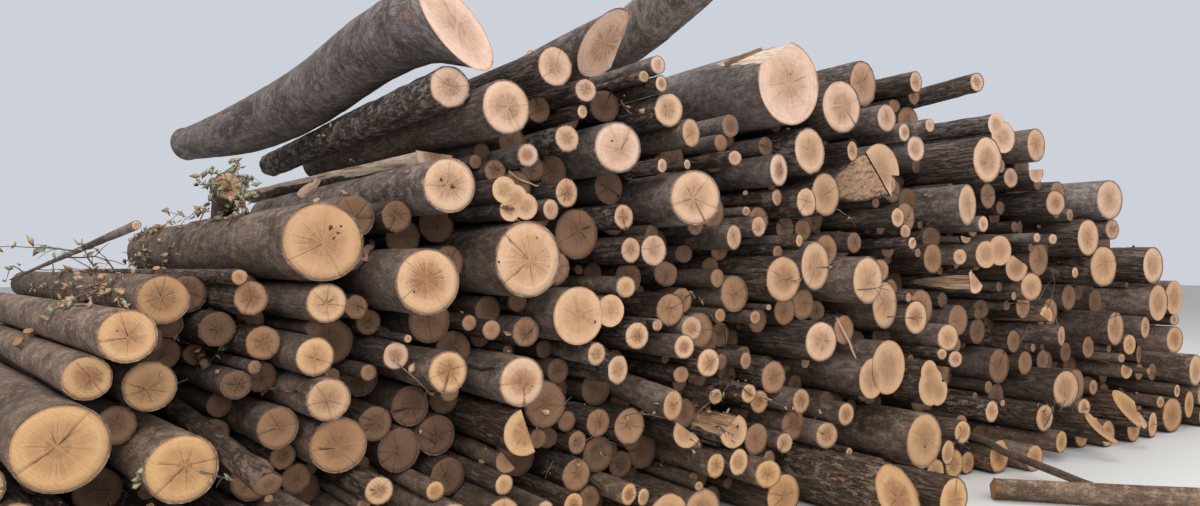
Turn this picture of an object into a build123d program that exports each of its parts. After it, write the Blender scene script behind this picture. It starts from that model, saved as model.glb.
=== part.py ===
from build123d import *
import math
import os
import random

# A long stack of round logs, laid side by side and piled on level ground.
# Axes while building: X runs along the front of the stack to the right, Y into
# the stack (the way the logs lie), Z up.  The front of the stack is the plane
# Y = 0 and the ground is Z = 0.  At the very end everything is moved so that
# the origin is the middle of the footprint, on the ground.

# Driving sizes, in millimetres
LOG_LENGTH = 3050.0          # stock length, ten feet
LENGTH_SPREAD = 90.0         # how much a log is longer or shorter than that
TAPER = 9.0                  # loss of diameter in one metre of log
SEAT_GAP = 0.35              # air between a log and the logs it rests on
EYE_DISTANCE = 3780.0        # how far before the front the survey was taken
EYE_HEIGHT = 1550.0          # and how high above the ground
FAN_ANGLE = 9.0              # degrees the outermost left logs turn outward
FAN_START = 2500.0           # X where that turning begins
FAN_FULL = 300.0             # X where it is complete
STACK_LEFT = -1250.0         # foot of the left slope
STACK_RIGHT = 9750.0         # foot of the right slope
BASE_SIZES = (170.0, 300.0)  # smallest and largest log of the hidden courses
FILL_SIZES = (60.0, 230.0)   # smallest and largest log set back between others
FILL_RECESS = (120.0, 620.0) # how far those are set back from the front
CUT_LIMIT = 0.26             # steepest slope of an oblique saw cut
EASE = 12.0                  # how far a log may be pushed to clear its neighbours
DROP_LIMIT = 34.0            # how far a log may sink to reach its seat
GROWTH_LIMIT = 260.0         # largest radius a fitted log may take
SMALLEST = 15.0              # smallest radius a fitted log may take
PARING = 0.2                 # taken off a surveyed radius, so that ends stay apart
OBLIQUE = 0.55               # share of the eye distance past which an end is seen obliquely
RISE_SPREAD = 0.25           # degrees a surveyed log lies higher or lower in front
TURN_SPREAD = 0.35           # degrees it lies turned against its neighbours
CUT_SPREAD = 0.08            # slope by which a saw cut is off square
LOW_TURN_SPREAD = 0.3        # degrees a log of the hidden courses lies turned
GROUND_FRONTS = (-60.0, 90.0)   # where the logs on the ground begin
COURSE_FRONTS = (-80.0, 120.0)  # where the logs of the hidden courses begin
COURSE_TRIES = 2600          # places tried for the logs of the hidden courses
SIDE_STEP = 9.0              # how far a log on the ground is moved to find room
SIDE_TRIES = 90
ROOM_AHEAD = 6.0             # how deep a low log may reach into a surveyed place
FILL_GRID = (78.0, 62.0)     # spacing of the places tried for the logs set back
FILL_HEIGHTS = (60.0, 2700.0)   # lowest and highest of those places
FILL_SWEEPS = 3
FILL_START = 120.0           # where they begin from the foot of the left slope
FILL_SHIFT = 60.0            # and how much a row of them is shifted
REACH = 300.0                # how far away the neighbours of a hollow may be
PROP_REACH = 260.0           # and those of a log that needs a prop
PROP_RADIUS = 70.0           # size a prop is wished to have
SLIMMING = (1.0, 0.97, 0.94, 0.9, 0.86, 0.82, 0.77, 0.72, 0.66, 0.6, 0.53, 0.46, 0.4)
EASE_GROWTH = 0.03           # how much farther a slimmer log may be pushed
FALL_REACH = 900.0           # how far down the seat of a loose log is looked for
FALL_STEP = 0.9              # share of the gap that one step of a fall takes
NODE_GAP = 4.0               # least air between two logs of one set
LYING_LOW = 25.0             # a log closer than this to the ground lies on it
TIGHT = 0.003                # a gap is solved when it is this close
CM = 10.0
SKEW = 0.035                 # difference of direction past which logs lie askew
GOLDEN = 0.618034

# Height of the stack along its length, for the logs that fill it
SLOPE = (
    (-1250, 150), (0, 930), (500, 1330), (1000, 1640), (1350, 1900), (1600, 2250),
    (2000, 2330), (2600, 2380), (3000, 2420), (3600, 2430), (4200, 2560), (5000, 2420),
    (5600, 2330), (6100, 2450), (6700, 2280), (7500, 2080), (8300, 1720), (8800, 1280),
    (9200, 760), (9750, 130),
)
# Lower limit of the surveyed ends; the courses under it are finished plainly
HIDDEN = (
    (-1250, 2000), (-60, 1000), (0, 620), (900, 560), (1500, 430), (2400, 200),
    (3600, 120), (4400, 100), (5400, 60), (9300, 60), (9400, 1500), (9750, 1500),
)

# Survey of the sawn ends, in centimetres, as seen on the plane of the front:
# X, Z, width, height, how far the end stands forward of the front (or back, if
# negative), and, where it is needed, the rise to the front in degrees.
SURVEY_1 = (
    (7.0, 86.0, 34.0, 34.0, 12), (48.0, 73.0, 28.7, 28.4, 6), (16.4, 111.7, 17.3, 17.6, -4),
    (29.0, 126.5, 21.6, 21.7, 10), (36.7, 106.6, 20.2, 20.7, -14), (41.2, 140.2, 19.9, 20.0, -6),
    (32.0, 151.8, 10.5, 9.0, -3, 5), (69.3, 148.8, 7.0, 7.1, -6), (68.0, 104.7, 12.0, 13.0, -22),
    (109.7, 75.2, 25.5, 25.0, -12), (105.5, 95.5, 20.5, 18.0, 4),
    (99.0, 115.2, 17.3, 18.4, -2), (104.7, 137.2, 17.9, 18.3, 0), (103.3, 163.7, 34.8, 35.3, 4),
    (80.0, 121.0, 15.0, 15.0, -18), (63.0, 127.0, 17.0, 17.0, -30),
)
SURVEY_2 = (
    (117.5, 135.2, 12.0, 11.7, -20), (127.8, 52.9, 13.4, 14.0, 4), (154.4, 71.2, 11.0, 8.8, 0),
    (135.6, 112.6, 13.7, 13.5, -3), (160.5, 103.5, 20.8, 20.0, 2), (150.6, 145.3, 32.5, 32.8, 12),
    (150.3, 124.4, 4.0, 4.5, 0), (166.2, 155.2, 26.6, 29.0, -25), (161.4, 191.1, 27.3, 25.9, 2),
    (160.1, 239.3, 19.5, 22.5, -4, 1.8), (187.5, 226.0, 35.5, 36.2, 10), (202.9, 207.8, 12.1, 12.1, 0),
    (203.2, 156.5, 40.0, 37.4, 6), (183.2, 122.3, 8.9, 12.0, -10), (203.2, 121.0, 14.5, 16.4, -14),
    (199.6, 95.0, 25.8, 26.0, 8), (213.0, 83.9, 24.9, 24.9, -18), (183.0, 65.4, 12.0, 11.0, -8),
    (192.9, 51.2, 10.8, 10.9, 4), (190.0, 31.0, 20.0, 20.0, 6), (213.7, 31.8, 10.5, 10.0, 0),
    (215.0, 66.9, 12.0, 11.0, -30), (225.6, 217.8, 15.7, 15.2, 0), (234.7, 232.3, 6.1, 7.9, 0),
    (239.8, 246.9, 14.2, 12.9, 4), (248.3, 236.4, 19.0, 18.0, -35), (216.0, 181.4, 9.7, 11.5, 2),
    (225.0, 189.9, 9.7, 16.2, 0), (218.5, 253.6, 20.8, 21.2, 6),
)
SURVEY_3 = (
    (256.5, 215.6, 31.0, 28.2, 2), (270.4, 254.3, 8.6, 7.4, -4), (260.5, 179.1, 13.4, 14.8, -4),
    (261.8, 141.8, 13.1, 11.9, 0), (266.4, 161.3, 13.3, 15.0, 3), (280.3, 161.4, 18.3, 18.3, 1),
    (279.0, 171.0, 9.0, 9.0, -22), (231.6, 62.6, 12.0, 13.2, -20), (229.5, 31.3, 13.0, 13.0, 2),
    (239.0, 33.0, 13.0, 13.0, -16), (243.8, 107.0, 12.0, 12.8, 2), (256.8, 98.0, 14.7, 17.3, 4),
    (269.7, 115.2, 16.7, 15.8, 2), (286.2, 105.7, 13.0, 15.4, 2), (301.3, 107.8, 15.1, 14.4, 2),
    (288.0, 129.0, 21.5, 20.0, -8), (310.4, 117.2, 15.8, 14.4, -5), (316.6, 96.6, 19.1, 18.3, 0),
    (299.0, 92.6, 12.3, 10.1, -10), (282.4, 90.3, 19.2, 18.0, -6), (293.3, 76.1, 12.6, 17.5, 14, -6),
    (261.5, 31.1, 12.1, 14.0, 4), (273.5, 28.6, 8.3, 10.5, 0), (288.5, 148.5, 17.8, 14.9, -28),
    (301.0, 159.6, 17.3, 10.4, -30), (286.0, 262.8, 10.8, 10.9, 0), (288.8, 251.3, 10.8, 12.3, 2),
    (290.5, 238.5, 21.5, 20.0, -2), (306.0, 227.0, 12.8, 16.8, 0), (300.7, 214.0, 5.2, 6.4, 2),
    (286.0, 207.7, 6.0, 9.0, 0), (308.0, 188.5, 38.6, 33.1, 6), (306.0, 34.5, 7.0, 6.0, 0),
)
SURVEY_4 = (
    (332.3, 225.4, 12.0, 10.0, -40), (338.7, 215.3, 11.8, 9.7, -4), (346.0, 190.0, 7.0, 6.0, -10),
    (337.6, 168.9, 11.7, 15.6, 4), (320.7, 155.8, 18.0, 11.0, -30), (325.3, 145.8, 10.6, 11.7, -12),
    (357.3, 176.1, 12.0, 12.8, 0), (369.5, 194.4, 9.2, 11.0, -4), (373.7, 210.4, 15.2, 20.3, 0),
    (371.0, 236.0, 9.0, 7.0, -26), (347.0, 97.4, 9.0, 10.6, -12), (354.5, 122.5, 9.0, 8.6, -8),
    (365.4, 128.1, 5.0, 4.0, -4), (349.5, 78.0, 13.4, 12.4, -2), (324.0, 78.4, 11.0, 10.0, -4),
    (337.0, 57.6, 21.0, 20.0, 2), (324.2, 38.9, 13.7, 14.9, 6), (341.5, 38.6, 15.8, 17.0, 3),
    (365.0, 28.6, 22.6, 17.5, 6), (378.5, 45.7, 14.0, 13.0, -8), (377.5, 144.9, 30.4, 29.4, 3),
    (388.5, 169.5, 6.3, 8.4, 0), (397.0, 192.0, 18.5, 19.0, 6), (400.0, 223.6, 28.4, 30.0, 2),
    (392.5, 69.8, 15.2, 16.0, -2), (358.0, 72.5, 16.0, 15.0, -12),
)
SURVEY_5 = (
    (414.0, 197.4, 27.0, 28.4, -2), (412.5, 168.6, 14.7, 14.0, -30), (402.5, 152.0, 26.0, 31.9, 1),
    (405.0, 124.8, 20.4, 13.0, -22), (410.0, 105.4, 29.2, 26.2, 4), (431.0, 111.8, 20.0, 20.6, -14),
    (415.0, 44.3, 21.4, 18.0, -4), (431.5, 56.0, 17.0, 17.0, 4), (440.5, 35.8, 6.8, 6.7, 0),
    (428.5, 253.7, 37.0, 34.8, 6), (449.0, 268.0, 28.0, 32.0, -16), (435.0, 227.3, 10.7, 14.0, -4),
    (472.0, 250.4, 19.8, 19.3, 2), (482.0, 258.0, 15.0, 12.2, -20), (472.0, 152.3, 17.8, 15.8, -12),
    (454.5, 142.4, 29.8, 31.9, 6), (471.0, 126.3, 26.3, 32.0, -2), (462.5, 168.0, 7.0, 12.0, -45),
    (483.5, 184.9, 14.2, 14.4, 4), (491.0, 175.2, 12.0, 11.0, -6),
)
SURVEY_6 = (
    (502.5, 277.8, 14.0, 15.7, -2), (494.0, 251.0, 22.0, 19.0, -18), (517.5, 249.4, 11.0, 10.0, 12),
    (491.5, 241.0, 13.0, 14.0, 0), (502.5, 232.4, 19.5, 19.0, 0), (498.7, 167.8, 9.9, 9.4, 4),
    (520.0, 169.4, 22.5, 17.3, -24), (496.0, 135.9, 7.0, 7.1, 2), (502.6, 117.3, 25.8, 24.4, 2),
    (541.0, 199.0, 19.5, 15.8, -20), (551.5, 158.7, 16.6, 12.4, -4), (539.6, 103.6, 25.0, 19.6, 0),
    (531.0, 90.7, 11.8, 8.9, 2), (546.3, 86.0, 17.6, 13.0, 2), (511.7, 32.2, 39.7, 39.3, 8),
    (538.3, 21.4, 15.8, 18.6, 4), (554.6, 33.5, 19.8, 17.4, 4), (558.0, 72.5, 15.5, 11.5, -8),
    (569.8, 285.2, 18.0, 15.0, 26, 4.4), (584.2, 230.1, 37.4, 35.5, 4), (560.5, 197.0, 22.3, 31.0, 2),
    (578.5, 181.2, 13.6, 13.1, 3), (560.0, 171.3, 18.0, 9.0, -8), (569.8, 141.3, 19.7, 18.5, 0),
)
SURVEY_7 = (
    (647.8, 245.5, 26.0, 26.7, 0), (648.0, 224.0, 20.0, 15.0, -2), (614.0, 218.3, 20.0, 16.0, -12),
    (621.7, 200.7, 29.0, 20.8, 0), (625.0, 182.6, 7.5, 11.0, -30), (649.0, 173.9, 10.0, 8.0, -2),
    (671.0, 173.0, 13.0, 9.0, -2), (675.0, 201.7, 29.5, 21.7, -4), (696.0, 247.5, 10.0, 10.5, -8),
    (637.4, 134.1, 34.8, 26.0, 2), (617.3, 126.2, 13.4, 13.5, -4), (576.3, 120.8, 21.5, 14.4, -30),
    (662.0, 112.8, 18.0, 15.0, -4), (683.5, 96.3, 11.0, 16.7, 6), (636.7, 74.8, 6.0, 7.0, 2),
    (603.5, 49.7, 7.0, 6.0, 2), (590.0, 44.8, 17.5, 17.5, 2), (659.5, 36.8, 25.5, 23.0, 2),
    (690.0, 53.5, 40.0, 31.0, 4), (645.7, 6.0, 23.6, 21.0, 16), (683.5, 11.7, 16.8, 19.0, 10),
)
SURVEY_8 = (
    (753.5, 209.0, 43.4, 34.5, 2), (761.7, 182.5, 23.4, 18.2, 0), (723.6, 174.8, 34.6, 31.5, 2),
    (747.7, 151.3, 45.5, 36.0, 0), (832.0, 175.3, 38.6, 34.0, 0), (814.0, 158.0, 19.0, 9.0, -30),
    (703.5, 146.5, 10.4, 10.0, 0), (818.0, 97.4, 16.8, 20.3, 0), (771.0, 95.6, 33.0, 34.0, -4),
    (790.5, 83.6, 23.0, 19.0, -2), (777.0, 72.8, 17.0, 8.0, 0), (786.0, 62.0, 20.0, 15.0, -4),
    (807.0, 74.7, 10.0, 18.0, -20), (824.0, 58.4, 7.0, 6.0, 2), (735.5, 67.0, 5.0, 6.0, 4),
    (723.5, 20.4, 11.0, 11.0, 4), (717.0, 79.2, 20.0, 16.0, 0), (872.5, 83.9, 33.0, 25.4, 2),
    (871.5, 101.5, 21.0, 11.4, 2), (914.0, 53.3, 28.0, 30.6, 0), (879.0, 38.5, 12.0, 13.0, 2),
    (901.0, 21.9, 20.0, 27.0, 0), (864.5, 18.3, 39.0, 33.0, 2), (843.0, 30.0, 15.0, 11.0, 0),
    (831.5, 12.5, 17.5, 24.0, 4),
)
# Logs split or squared along their length: the survey place of each, then its
# flats as (direction in degrees, distance from the axis as a share of the
# radius, run in centimetres until the flat leaves the bark, or 0 for endless).
FLATS = {
    (392.5, 69.8): ((45, 0.76, 70), (135, 0.76, 70), (225, 0.76, 30), (315, 0.76, 30)),
    (358.0, 72.5): ((75, 0.55, 80), (195, 0.6, 25), (315, 0.55, 25)),
    (491.5, 241.0): ((25, 0.45, 60), (205, 0.35, 60)),
    (569.8, 141.3): ((50, 0.3, 90), (190, 0.65, 70)),
    (560.0, 171.3): ((80, 0.1, 60),),
    (183.0, 65.4): ((40, 0.15, 60),),
    (662.0, 112.8): ((240, 0.3, 80),),
    (337.0, 57.6): ((130, 0.45, 120),),
    (303.6, 60.3): ((55, 0.1, 120),),
    (648.0, 224.0): ((95, 0.35, 60),),
    (786.0, 62.0): ((70, 0.4, 60),),
    (621.7, 200.7): ((60, 0.6, 50),),
}
SURVEY_9 = ((303.6, 60.3, 20.0, 18.0, 2),)
# Ends with more than one heart, with burls, or sawn very obliquely: the same
# readings, the rise to the front and the turn in degrees, the lobes (offset X
# and Z, diameter, how deep they run), the slope of the cut towards the top, and
# further cuts: a flat as above, or a step sawn out of the end (offset X and Z of
# its lower left corner, width, height, depth).
SPECIAL = (
    ("leaning_post", 78.0, 62.0, 14.5, 14.5, 40, -7.0, 9.0, (), 0.5, ()),
    ("short_offcut", 65.0, 197.3, 12.2, 12.0, -95, 7.0, -8.0, (), 0.0, ()),
    ("twin_a", 232.5, 127.4, 30.0, 30.0, 3, 0.0, 0.5, ((19.5, 2.0, 17.0, 95),), 0.0, ()),
    ("burl_a", 196.5, 183.0, 17.0, 17.0, 6, 0.0, 2.0,
     ((-6.0, 3.5, 13.0, 30), (5.5, -4.0, 13.0, 24), (-3.0, -6.0, 11.0, 20)), 0.0, ()),
    ("forked_butt", 474.0, 85.0, 34.0, 36.0, 4, 0.0, 0.0,
     ((-17.0, -6.0, 26.0, 150),), 0.0, ()),
    ("notched_butt", 466.0, 214.0, 38.0, 38.0, 0, 0.0, 0.0, (), 0.0,
     (("flat", 222, 0.12, 30), ("step", 11.0, -22.0, 14.0, 21.0, 9.0))),
    ("burl_b", 519.0, 69.0, 27.0, 27.0, 4, 0.0, 0.0,
     ((8.0, -4.0, 20.0, 40), (-2.0, 9.0, 18.0, 30)), 0.0, (("step", 12.0, 2.0, 9.0, 5.0, 10.0),)),
    ("twin_b", 583.0, 160.5, 26.0, 20.0, 4, 0.0, 0.0, ((13.0, 3.0, 22.0, 120),), 0.0, ()),
    ("twin_c", 603.0, 247.0, 30.0, 24.0, 2, 0.0, 0.0, ((-7.0, 9.0, 17.0, 70),), 0.0, ()),
    ("twin_d", 836.0, 126.0, 34.0, 32.0, 4, 0.0, 0.0, ((28.0, 4.0, 31.0, 170),), 0.0, ()),
    ("slanted_trunk", 248.0, 268.0, 28.0, 28.0, 6, 2.0, 0.0, (), 1.15, (("flat", 8, 0.62, 90),)),
    ("torn_top_log", 382.5, 264.6, 50.9, 50.7, 6, 0.0, 0.0, (), 0.0, (("flat", 122, 0.8, 62),)),
    ("blade_a", 797.0, 28.0, 34.0, 32.0, 12, 0.0, 0.0, (), -0.9, (("flat", 318, 0.35, 35),)),
    ("blade_b", 746.0, 16.0, 24.0, 22.0, 22, 0.0, 0.0, (), -1.2, (("flat", 12, 0.25, 30),)),
    ("wedge_butt", 201.5, 68.0, 25.0, 25.0, 10, 0.0, 1.5, (), 0.0, (("flat", 20, 0.15, 26),)),
    ("low_butt_a", 484.0, -2.3, 42.6, 42.6, 50, 0.0, 0.0, (), -0.5, ()),
    ("low_butt_b", 544.3, -13.7, 33.5, 33.5, 62, 0.0, 0.0, (), 0.0, ()),
    ("split_slab", 158.0, 206.5, 18.0, 18.0, -40, 0.0, 5.0, (), 0.0, (("flat", 86, 0.05, 0),)),
    ("ground_split_log", 1250.0, -121.8, 38.2, 38.2, 180, 0.0, 44.0, (), 0.2, (("flat", 60, 0.3, 0),)),
)
SHORT = {"short_offcut": 900.0, "ground_split_log": 1900.0}
# Bent trunks on top of the stack: X, Y, Z and diameter along the heart, front
# first, in centimetres, and the slope of the saw cut (sideways, towards the top)
BENT_TRUNKS = (
    ("bent_trunk", (-0.35, -0.75),
     ((178.0, -10, 268.5, 40), (172.0, 12, 274.5, 40), (164.5, 42, 280.0, 40), (154.5, 88, 275.5, 38.5),
      (143.5, 142, 264.0, 37), (131.0, 192, 255.0, 37), (117.5, 242, 249.5, 34), (104.0, 286, 247.5, 29),
      (92.0, 322, 246.0, 24))),
    ("high_trunk", (0.1, 0.2),
     ((301.0, -42, 320.5, 30), (300.0, 0, 306.0, 31), (299.5, 45, 293.0, 31), (299.0, 90, 285.0, 30.5),
      (297.0, 145, 281.0, 30), (294.0, 220, 279.5, 29), (291.5, 275, 279.0, 28))),
)
SURVEY = SURVEY_1 + SURVEY_2 + SURVEY_3 + SURVEY_4 + SURVEY_5 + SURVEY_6 + SURVEY_7 + SURVEY_8 + SURVEY_9


def along(table, x):
    """Height read off a broken line at x."""
    for (xa, za), (xb, zb) in zip(table, table[1:]):
        if xa <= x <= xb:
            return za + (zb - za) * (x - xa) / (xb - xa)
    return -1.0


def fan(x):
    """Turn of a log about Z, in degrees; the back end goes to the left."""
    part = (FAN_START - x) / (FAN_START - FAN_FULL)
    part = min(1.0, max(0.0, part))
    return FAN_ANGLE * part * part * (3.0 - 2.0 * part)


class Log:
    """A tapered round log.  Its axis is x = x0 + kx*y, z = z0 + kz*y."""

    def __init__(self, x, z, front, radius, length, turn=0.0, rise=0.0, cut=0.0, kind="log"):
        self.kind = kind
        self.bevel = 0.0
        self.lobes = ()
        self.flats = ()
        self.steps = ()
        self.shared = None
        self.name = ""
        self.front = front
        self.length = length
        self.turn = turn
        self.rise = rise
        self.cut = cut
        self.kx = -math.tan(math.radians(turn))
        self.kz = -math.tan(math.radians(rise))
        self.cx = math.cos(math.radians(turn))
        self.cz = math.cos(math.radians(rise))
        self.step = math.sqrt(1.0 + self.kx ** 2 + self.kz ** 2)
        self.back = front + length / self.step
        self.slim = TAPER / 2000.0 * self.step
        self.x = x
        self.z = z
        self.radius = radius

    def at(self, y):
        d = y - self.front
        return self.x + self.kx * d, self.z + self.kz * d, self.radius - self.slim * d

    def foremost(self):
        """Where the log begins, at the tip of an oblique cut."""
        if self.kind == "span":
            return self.front
        slant = abs(self.cut) + abs(self.bevel) + abs(self.kx) + abs(self.kz)
        return self.front - self.radius * slant

    def askew(self):
        return max(abs(self.kx), abs(self.kz)) > SKEW

    def forms(self):
        """The log itself and the lobes of a forked or burled end."""
        if self.shared is None:
            self.shared = [self]
            for dx, dz, size, length in self.lobes:
                n = Log(0.0, 0.0, self.front, 0.5 * size, length, self.turn, self.rise)
                self.shared.append(n)
        for n, (dx, dz, size, length) in zip(self.shared[1:], self.lobes):
            n.x = self.x + dx
            n.z = self.z + dz
        return self.shared


def rounded(heart):
    """A heart line with one more point on a smooth curve between each two."""
    found = [heart[0]]
    for i, (a, b) in enumerate(zip(heart, heart[1:])):
        before = heart[max(0, i - 1)]
        after = heart[min(len(heart) - 1, i + 2)]
        middle = tuple(
            0.5 * (p + q) + (p + q - r - t) / 16.0 for p, q, r, t in zip(a, b, before, after)
        )
        found += [middle, b]
    return found


class Trunk:
    """A bent trunk: a run of straight spans, each as long as its Y asks."""

    def __init__(self, name, slope, heart):
        self.name = name
        self.kind = "trunk"
        self.slope = slope
        self.lobes = heart
        self.x, y, self.z, size = (v * CM for v in heart[0])
        self.radius = 0.5 * size
        self.spans = []
        line = rounded(heart)
        for (xa, ya, za, da), (xb, yb, zb, db) in zip(line, line[1:]):
            run = CM * (yb - ya)
            n = Log(0.0, 0.0, CM * ya, 0.5 * CM * da, run)
            n.kx = (xb - xa) / (yb - ya)
            n.kz = (zb - za) / (yb - ya)
            n.cx = 1.0 / math.hypot(1.0, n.kx)
            n.cz = 1.0 / math.hypot(1.0, n.kz)
            n.slim = 0.5 * (da - db) / (yb - ya)
            n.back = CM * yb
            n.off = (CM * (xa - heart[0][0]), CM * (za - heart[0][2]))
            n.kind = "span"
            self.spans.append(n)

    def forms(self):
        for n in self.spans:
            n.x = self.x + n.off[0]
            n.z = self.z + n.off[1]
        return self.spans


def contact(m, n):
    """Gap between two logs, lobes included, and the way m has to go to widen it."""
    if not m.lobes and not n.lobes:
        return rod_gap(m, n)
    return min((rod_gap(a, b) for a in m.forms() for b in n.forms()), key=lambda found: found[0])


def rod_gap(m, n):
    """Gap between two plain logs."""
    if abs(m.kx - n.kx) > SKEW or abs(m.kz - n.kz) > SKEW:
        return skew_gap(m, n)
    ya = max(m.foremost(), n.foremost())
    yb = min(m.back, n.back)
    if yb <= ya:
        return 1e6, 0.0, 1.0
    cx = 0.5 * (m.cx + n.cx)
    cz = 0.5 * (m.cz + n.cz)
    mx, mz, mr = m.at(0.0)
    nx, nz, nr = n.at(0.0)
    x0 = cx * (mx - nx)
    z0 = cz * (mz - nz)
    x1 = cx * (m.kx - n.kx)
    z1 = cz * (m.kz - n.kz)
    swell = 1.0 + 0.125 * ((m.kx - n.kx) ** 2 + (m.kz - n.kz) ** 2)
    r0 = (mr + nr) * swell
    r1 = -(m.slim + n.slim) * swell
    a = x0 * x0 + z0 * z0
    b = x0 * x1 + z0 * z1
    c = x1 * x1 + z1 * z1
    if c <= r1 * r1:
        y = yb if r1 > 0 else ya
    else:
        rest = max(0.0, a - b * b / c)
        y = -b / c + math.copysign(math.sqrt(r1 * r1 * rest / (c * (c - r1 * r1))), r1)
        y = min(yb, max(ya, y))
    dx = x0 + x1 * y
    dz = z0 + z1 * y
    d = math.hypot(dx, dz)
    if d < 1e-6:
        return -r0, 0.0, 1.0
    return d - r0 - r1 * y, cx * dx / d, cz * dz / d


def skew_gap(m, n):
    """The same for two logs that lie askew: a search along m, with the nearest
    place of the cone n in closed form."""
    taper = n.slim / n.step
    lean = taper / math.sqrt(1.0 - taper * taper)

    def nearest(y):
        x, z, r = m.at(y)
        dx = x - n.x
        dy = y - n.front
        dz = z - n.z
        run = (dx * n.kx + dy + dz * n.kz) / (n.step * n.step)
        away = math.sqrt(max(0.0, dx * dx + dy * dy + dz * dz - (run * n.step) ** 2))
        other = n.front + run - away * lean / n.step
        other = min(n.back, max(n.foremost(), other))
        nx, nz, nr = n.at(other)
        d = math.sqrt((x - nx) ** 2 + (y - other) ** 2 + (z - nz) ** 2)
        return d - r - nr, (x - nx) / max(d, 1e-6), (z - nz) / max(d, 1e-6)

    low, high = m.foremost(), m.back
    a = high - GOLDEN * (high - low)
    b = low + GOLDEN * (high - low)
    at_a, at_b = nearest(a), nearest(b)
    for turn in range(26):
        if at_a[0] < at_b[0]:
            high, b, at_b = b, a, at_a
            a = high - GOLDEN * (high - low)
            at_a = nearest(a)
        else:
            low, a, at_a = a, b, at_b
            b = low + GOLDEN * (high - low)
            at_b = nearest(b)
    return min(at_a, at_b)


def ground(m):
    """Gap between a log and the ground."""
    low = []
    for n in (m.forms() if m.lobes else (m,)):
        for y in (n.front, n.back):
            x, z, r = n.at(y)
            low.append(z - r / n.cz)
    return min(low), 0.0, 1.0


GROUND = "ground"


def gap_to(m, n):
    return ground(m) if n is GROUND else contact(m, n)


def spread(m):
    """Distance from the axis to the farthest point of a lobe or a bend."""
    if m.kind == "trunk":
        return m.radius + max(abs(n.off[0]) + abs(n.off[1]) for n in m.spans) + 200.0
    return max([m.radius] + [math.hypot(dx, dz) + 0.5 * size for dx, dz, size, length in m.lobes])


def near(m, others, reach):
    """Logs within reach of m, and the ground."""
    found = []
    for n in others:
        if n is m:
            continue
        span = spread(m) + spread(n) + reach + 60.0
        if abs(m.x - n.x) < span + 520.0 and abs(m.z - n.z) < span + 460.0:
            if gap_to(m, n)[0] < reach:
                found.append(n)
    if m.z - spread(m) < reach + 30.0:
        found.append(GROUND)
    return found


def clear(m, others, slack=0.0):
    if ground(m)[0] < -0.01 - slack:
        return False
    for n in others:
        if n is m:
            continue
        span = spread(m) + spread(n)
        if abs(m.x - n.x) < span + 520.0 and abs(m.z - n.z) < span + 460.0:
            if contact(m, n)[0] < SEAT_GAP - 0.02 - slack:
                return False
    return True


def seat_of(n):
    return 0.0 if n is GROUND else SEAT_GAP


def solve_two(m, p, q):
    """Shift m until it touches p and q."""
    for turn in range(9):
        gp, px, pz = gap_to(m, p)
        gq, qx, qz = gap_to(m, q)
        gp -= seat_of(p)
        gq -= seat_of(q)
        if abs(gp) < TIGHT and abs(gq) < TIGHT:
            return True
        det = px * qz - pz * qx
        if abs(det) < 0.04:
            return False
        sx = (-gp * qz + gq * pz) / det
        sz = (gp * qx - gq * px) / det
        far = math.hypot(sx, sz)
        if far > 120.0:
            sx *= 120.0 / far
            sz *= 120.0 / far
        m.x += sx
        m.z += sz
    return False


def solve_three(m, trio):
    """Shift m and change its size until it touches three others."""
    for turn in range(12):
        rows = []
        worst = 0.0
        for n in trio:
            g, nx, nz = gap_to(m, n)
            g -= seat_of(n)
            worst = max(worst, abs(g))
            rows.append((nx, nz, -1.0, -g))
        if worst < TIGHT:
            return True
        (a1, b1, c1, d1), (a2, b2, c2, d2), (a3, b3, c3, d3) = rows
        det = a1 * (b2 * c3 - b3 * c2) - b1 * (a2 * c3 - a3 * c2) + c1 * (a2 * b3 - a3 * b2)
        if abs(det) < 0.03:
            return False
        sx = (d1 * (b2 * c3 - b3 * c2) - b1 * (d2 * c3 - d3 * c2) + c1 * (d2 * b3 - d3 * b2)) / det
        sz = (a1 * (d2 * c3 - d3 * c2) - d1 * (a2 * c3 - a3 * c2) + c1 * (a2 * d3 - a3 * d2)) / det
        sr = (a1 * (b2 * d3 - b3 * d2) - b1 * (a2 * d3 - a3 * d2) + d1 * (a2 * b3 - a3 * b2)) / det
        far = max(abs(sx), abs(sz), abs(sr))
        cut = min(1.0, 60.0 / far) if far > 0 else 1.0
        m.x += sx * cut
        m.z += sz * cut
        m.radius += sr * cut
        if m.radius < SMALLEST or m.radius > GROWTH_LIMIT:
            return False
    return False


def steady(m, neighbours):
    """Whether the logs that m touches carry it from both sides."""
    left = right = False
    for n in neighbours:
        g, nx, nz = gap_to(m, n)
        if g - seat_of(n) < 0.05 and nz > 0.08:
            if nx > -0.12:
                left = True
            if nx < 0.12:
                right = True
    return left and right


def push_out(m, placed, rounds=30):
    """Move m out of the logs that are already there."""
    for turn in range(rounds):
        sx = sz = 0.0
        worst = 0.0
        for n in near(m, placed, 0.0):
            g, nx, nz = gap_to(m, n)
            g -= seat_of(n)
            if g < -0.001:
                worst = min(worst, g)
                sx -= g * nx
                sz -= g * nz
        if worst > -0.002:
            return True
        m.x += sx * 0.8
        m.z += sz * 0.8
    return False


def shrink_to_fit(m, placed):
    """Push m out, and slim it as far as the room asks."""
    full = m.radius
    x, z = m.x, m.z
    ease = EASE
    for part in SLIMMING:
        m.radius = full * part
        m.x, m.z = x, z
        if push_out(m, placed, 60) and math.hypot(m.x - x, m.z - z) < ease + 0.1 * full:
            return True
        ease += EASE_GROWTH * full
    m.x, m.z = x, z
    while not clear(m, placed):
        m.z += 0.1 * full
    return True


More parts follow.
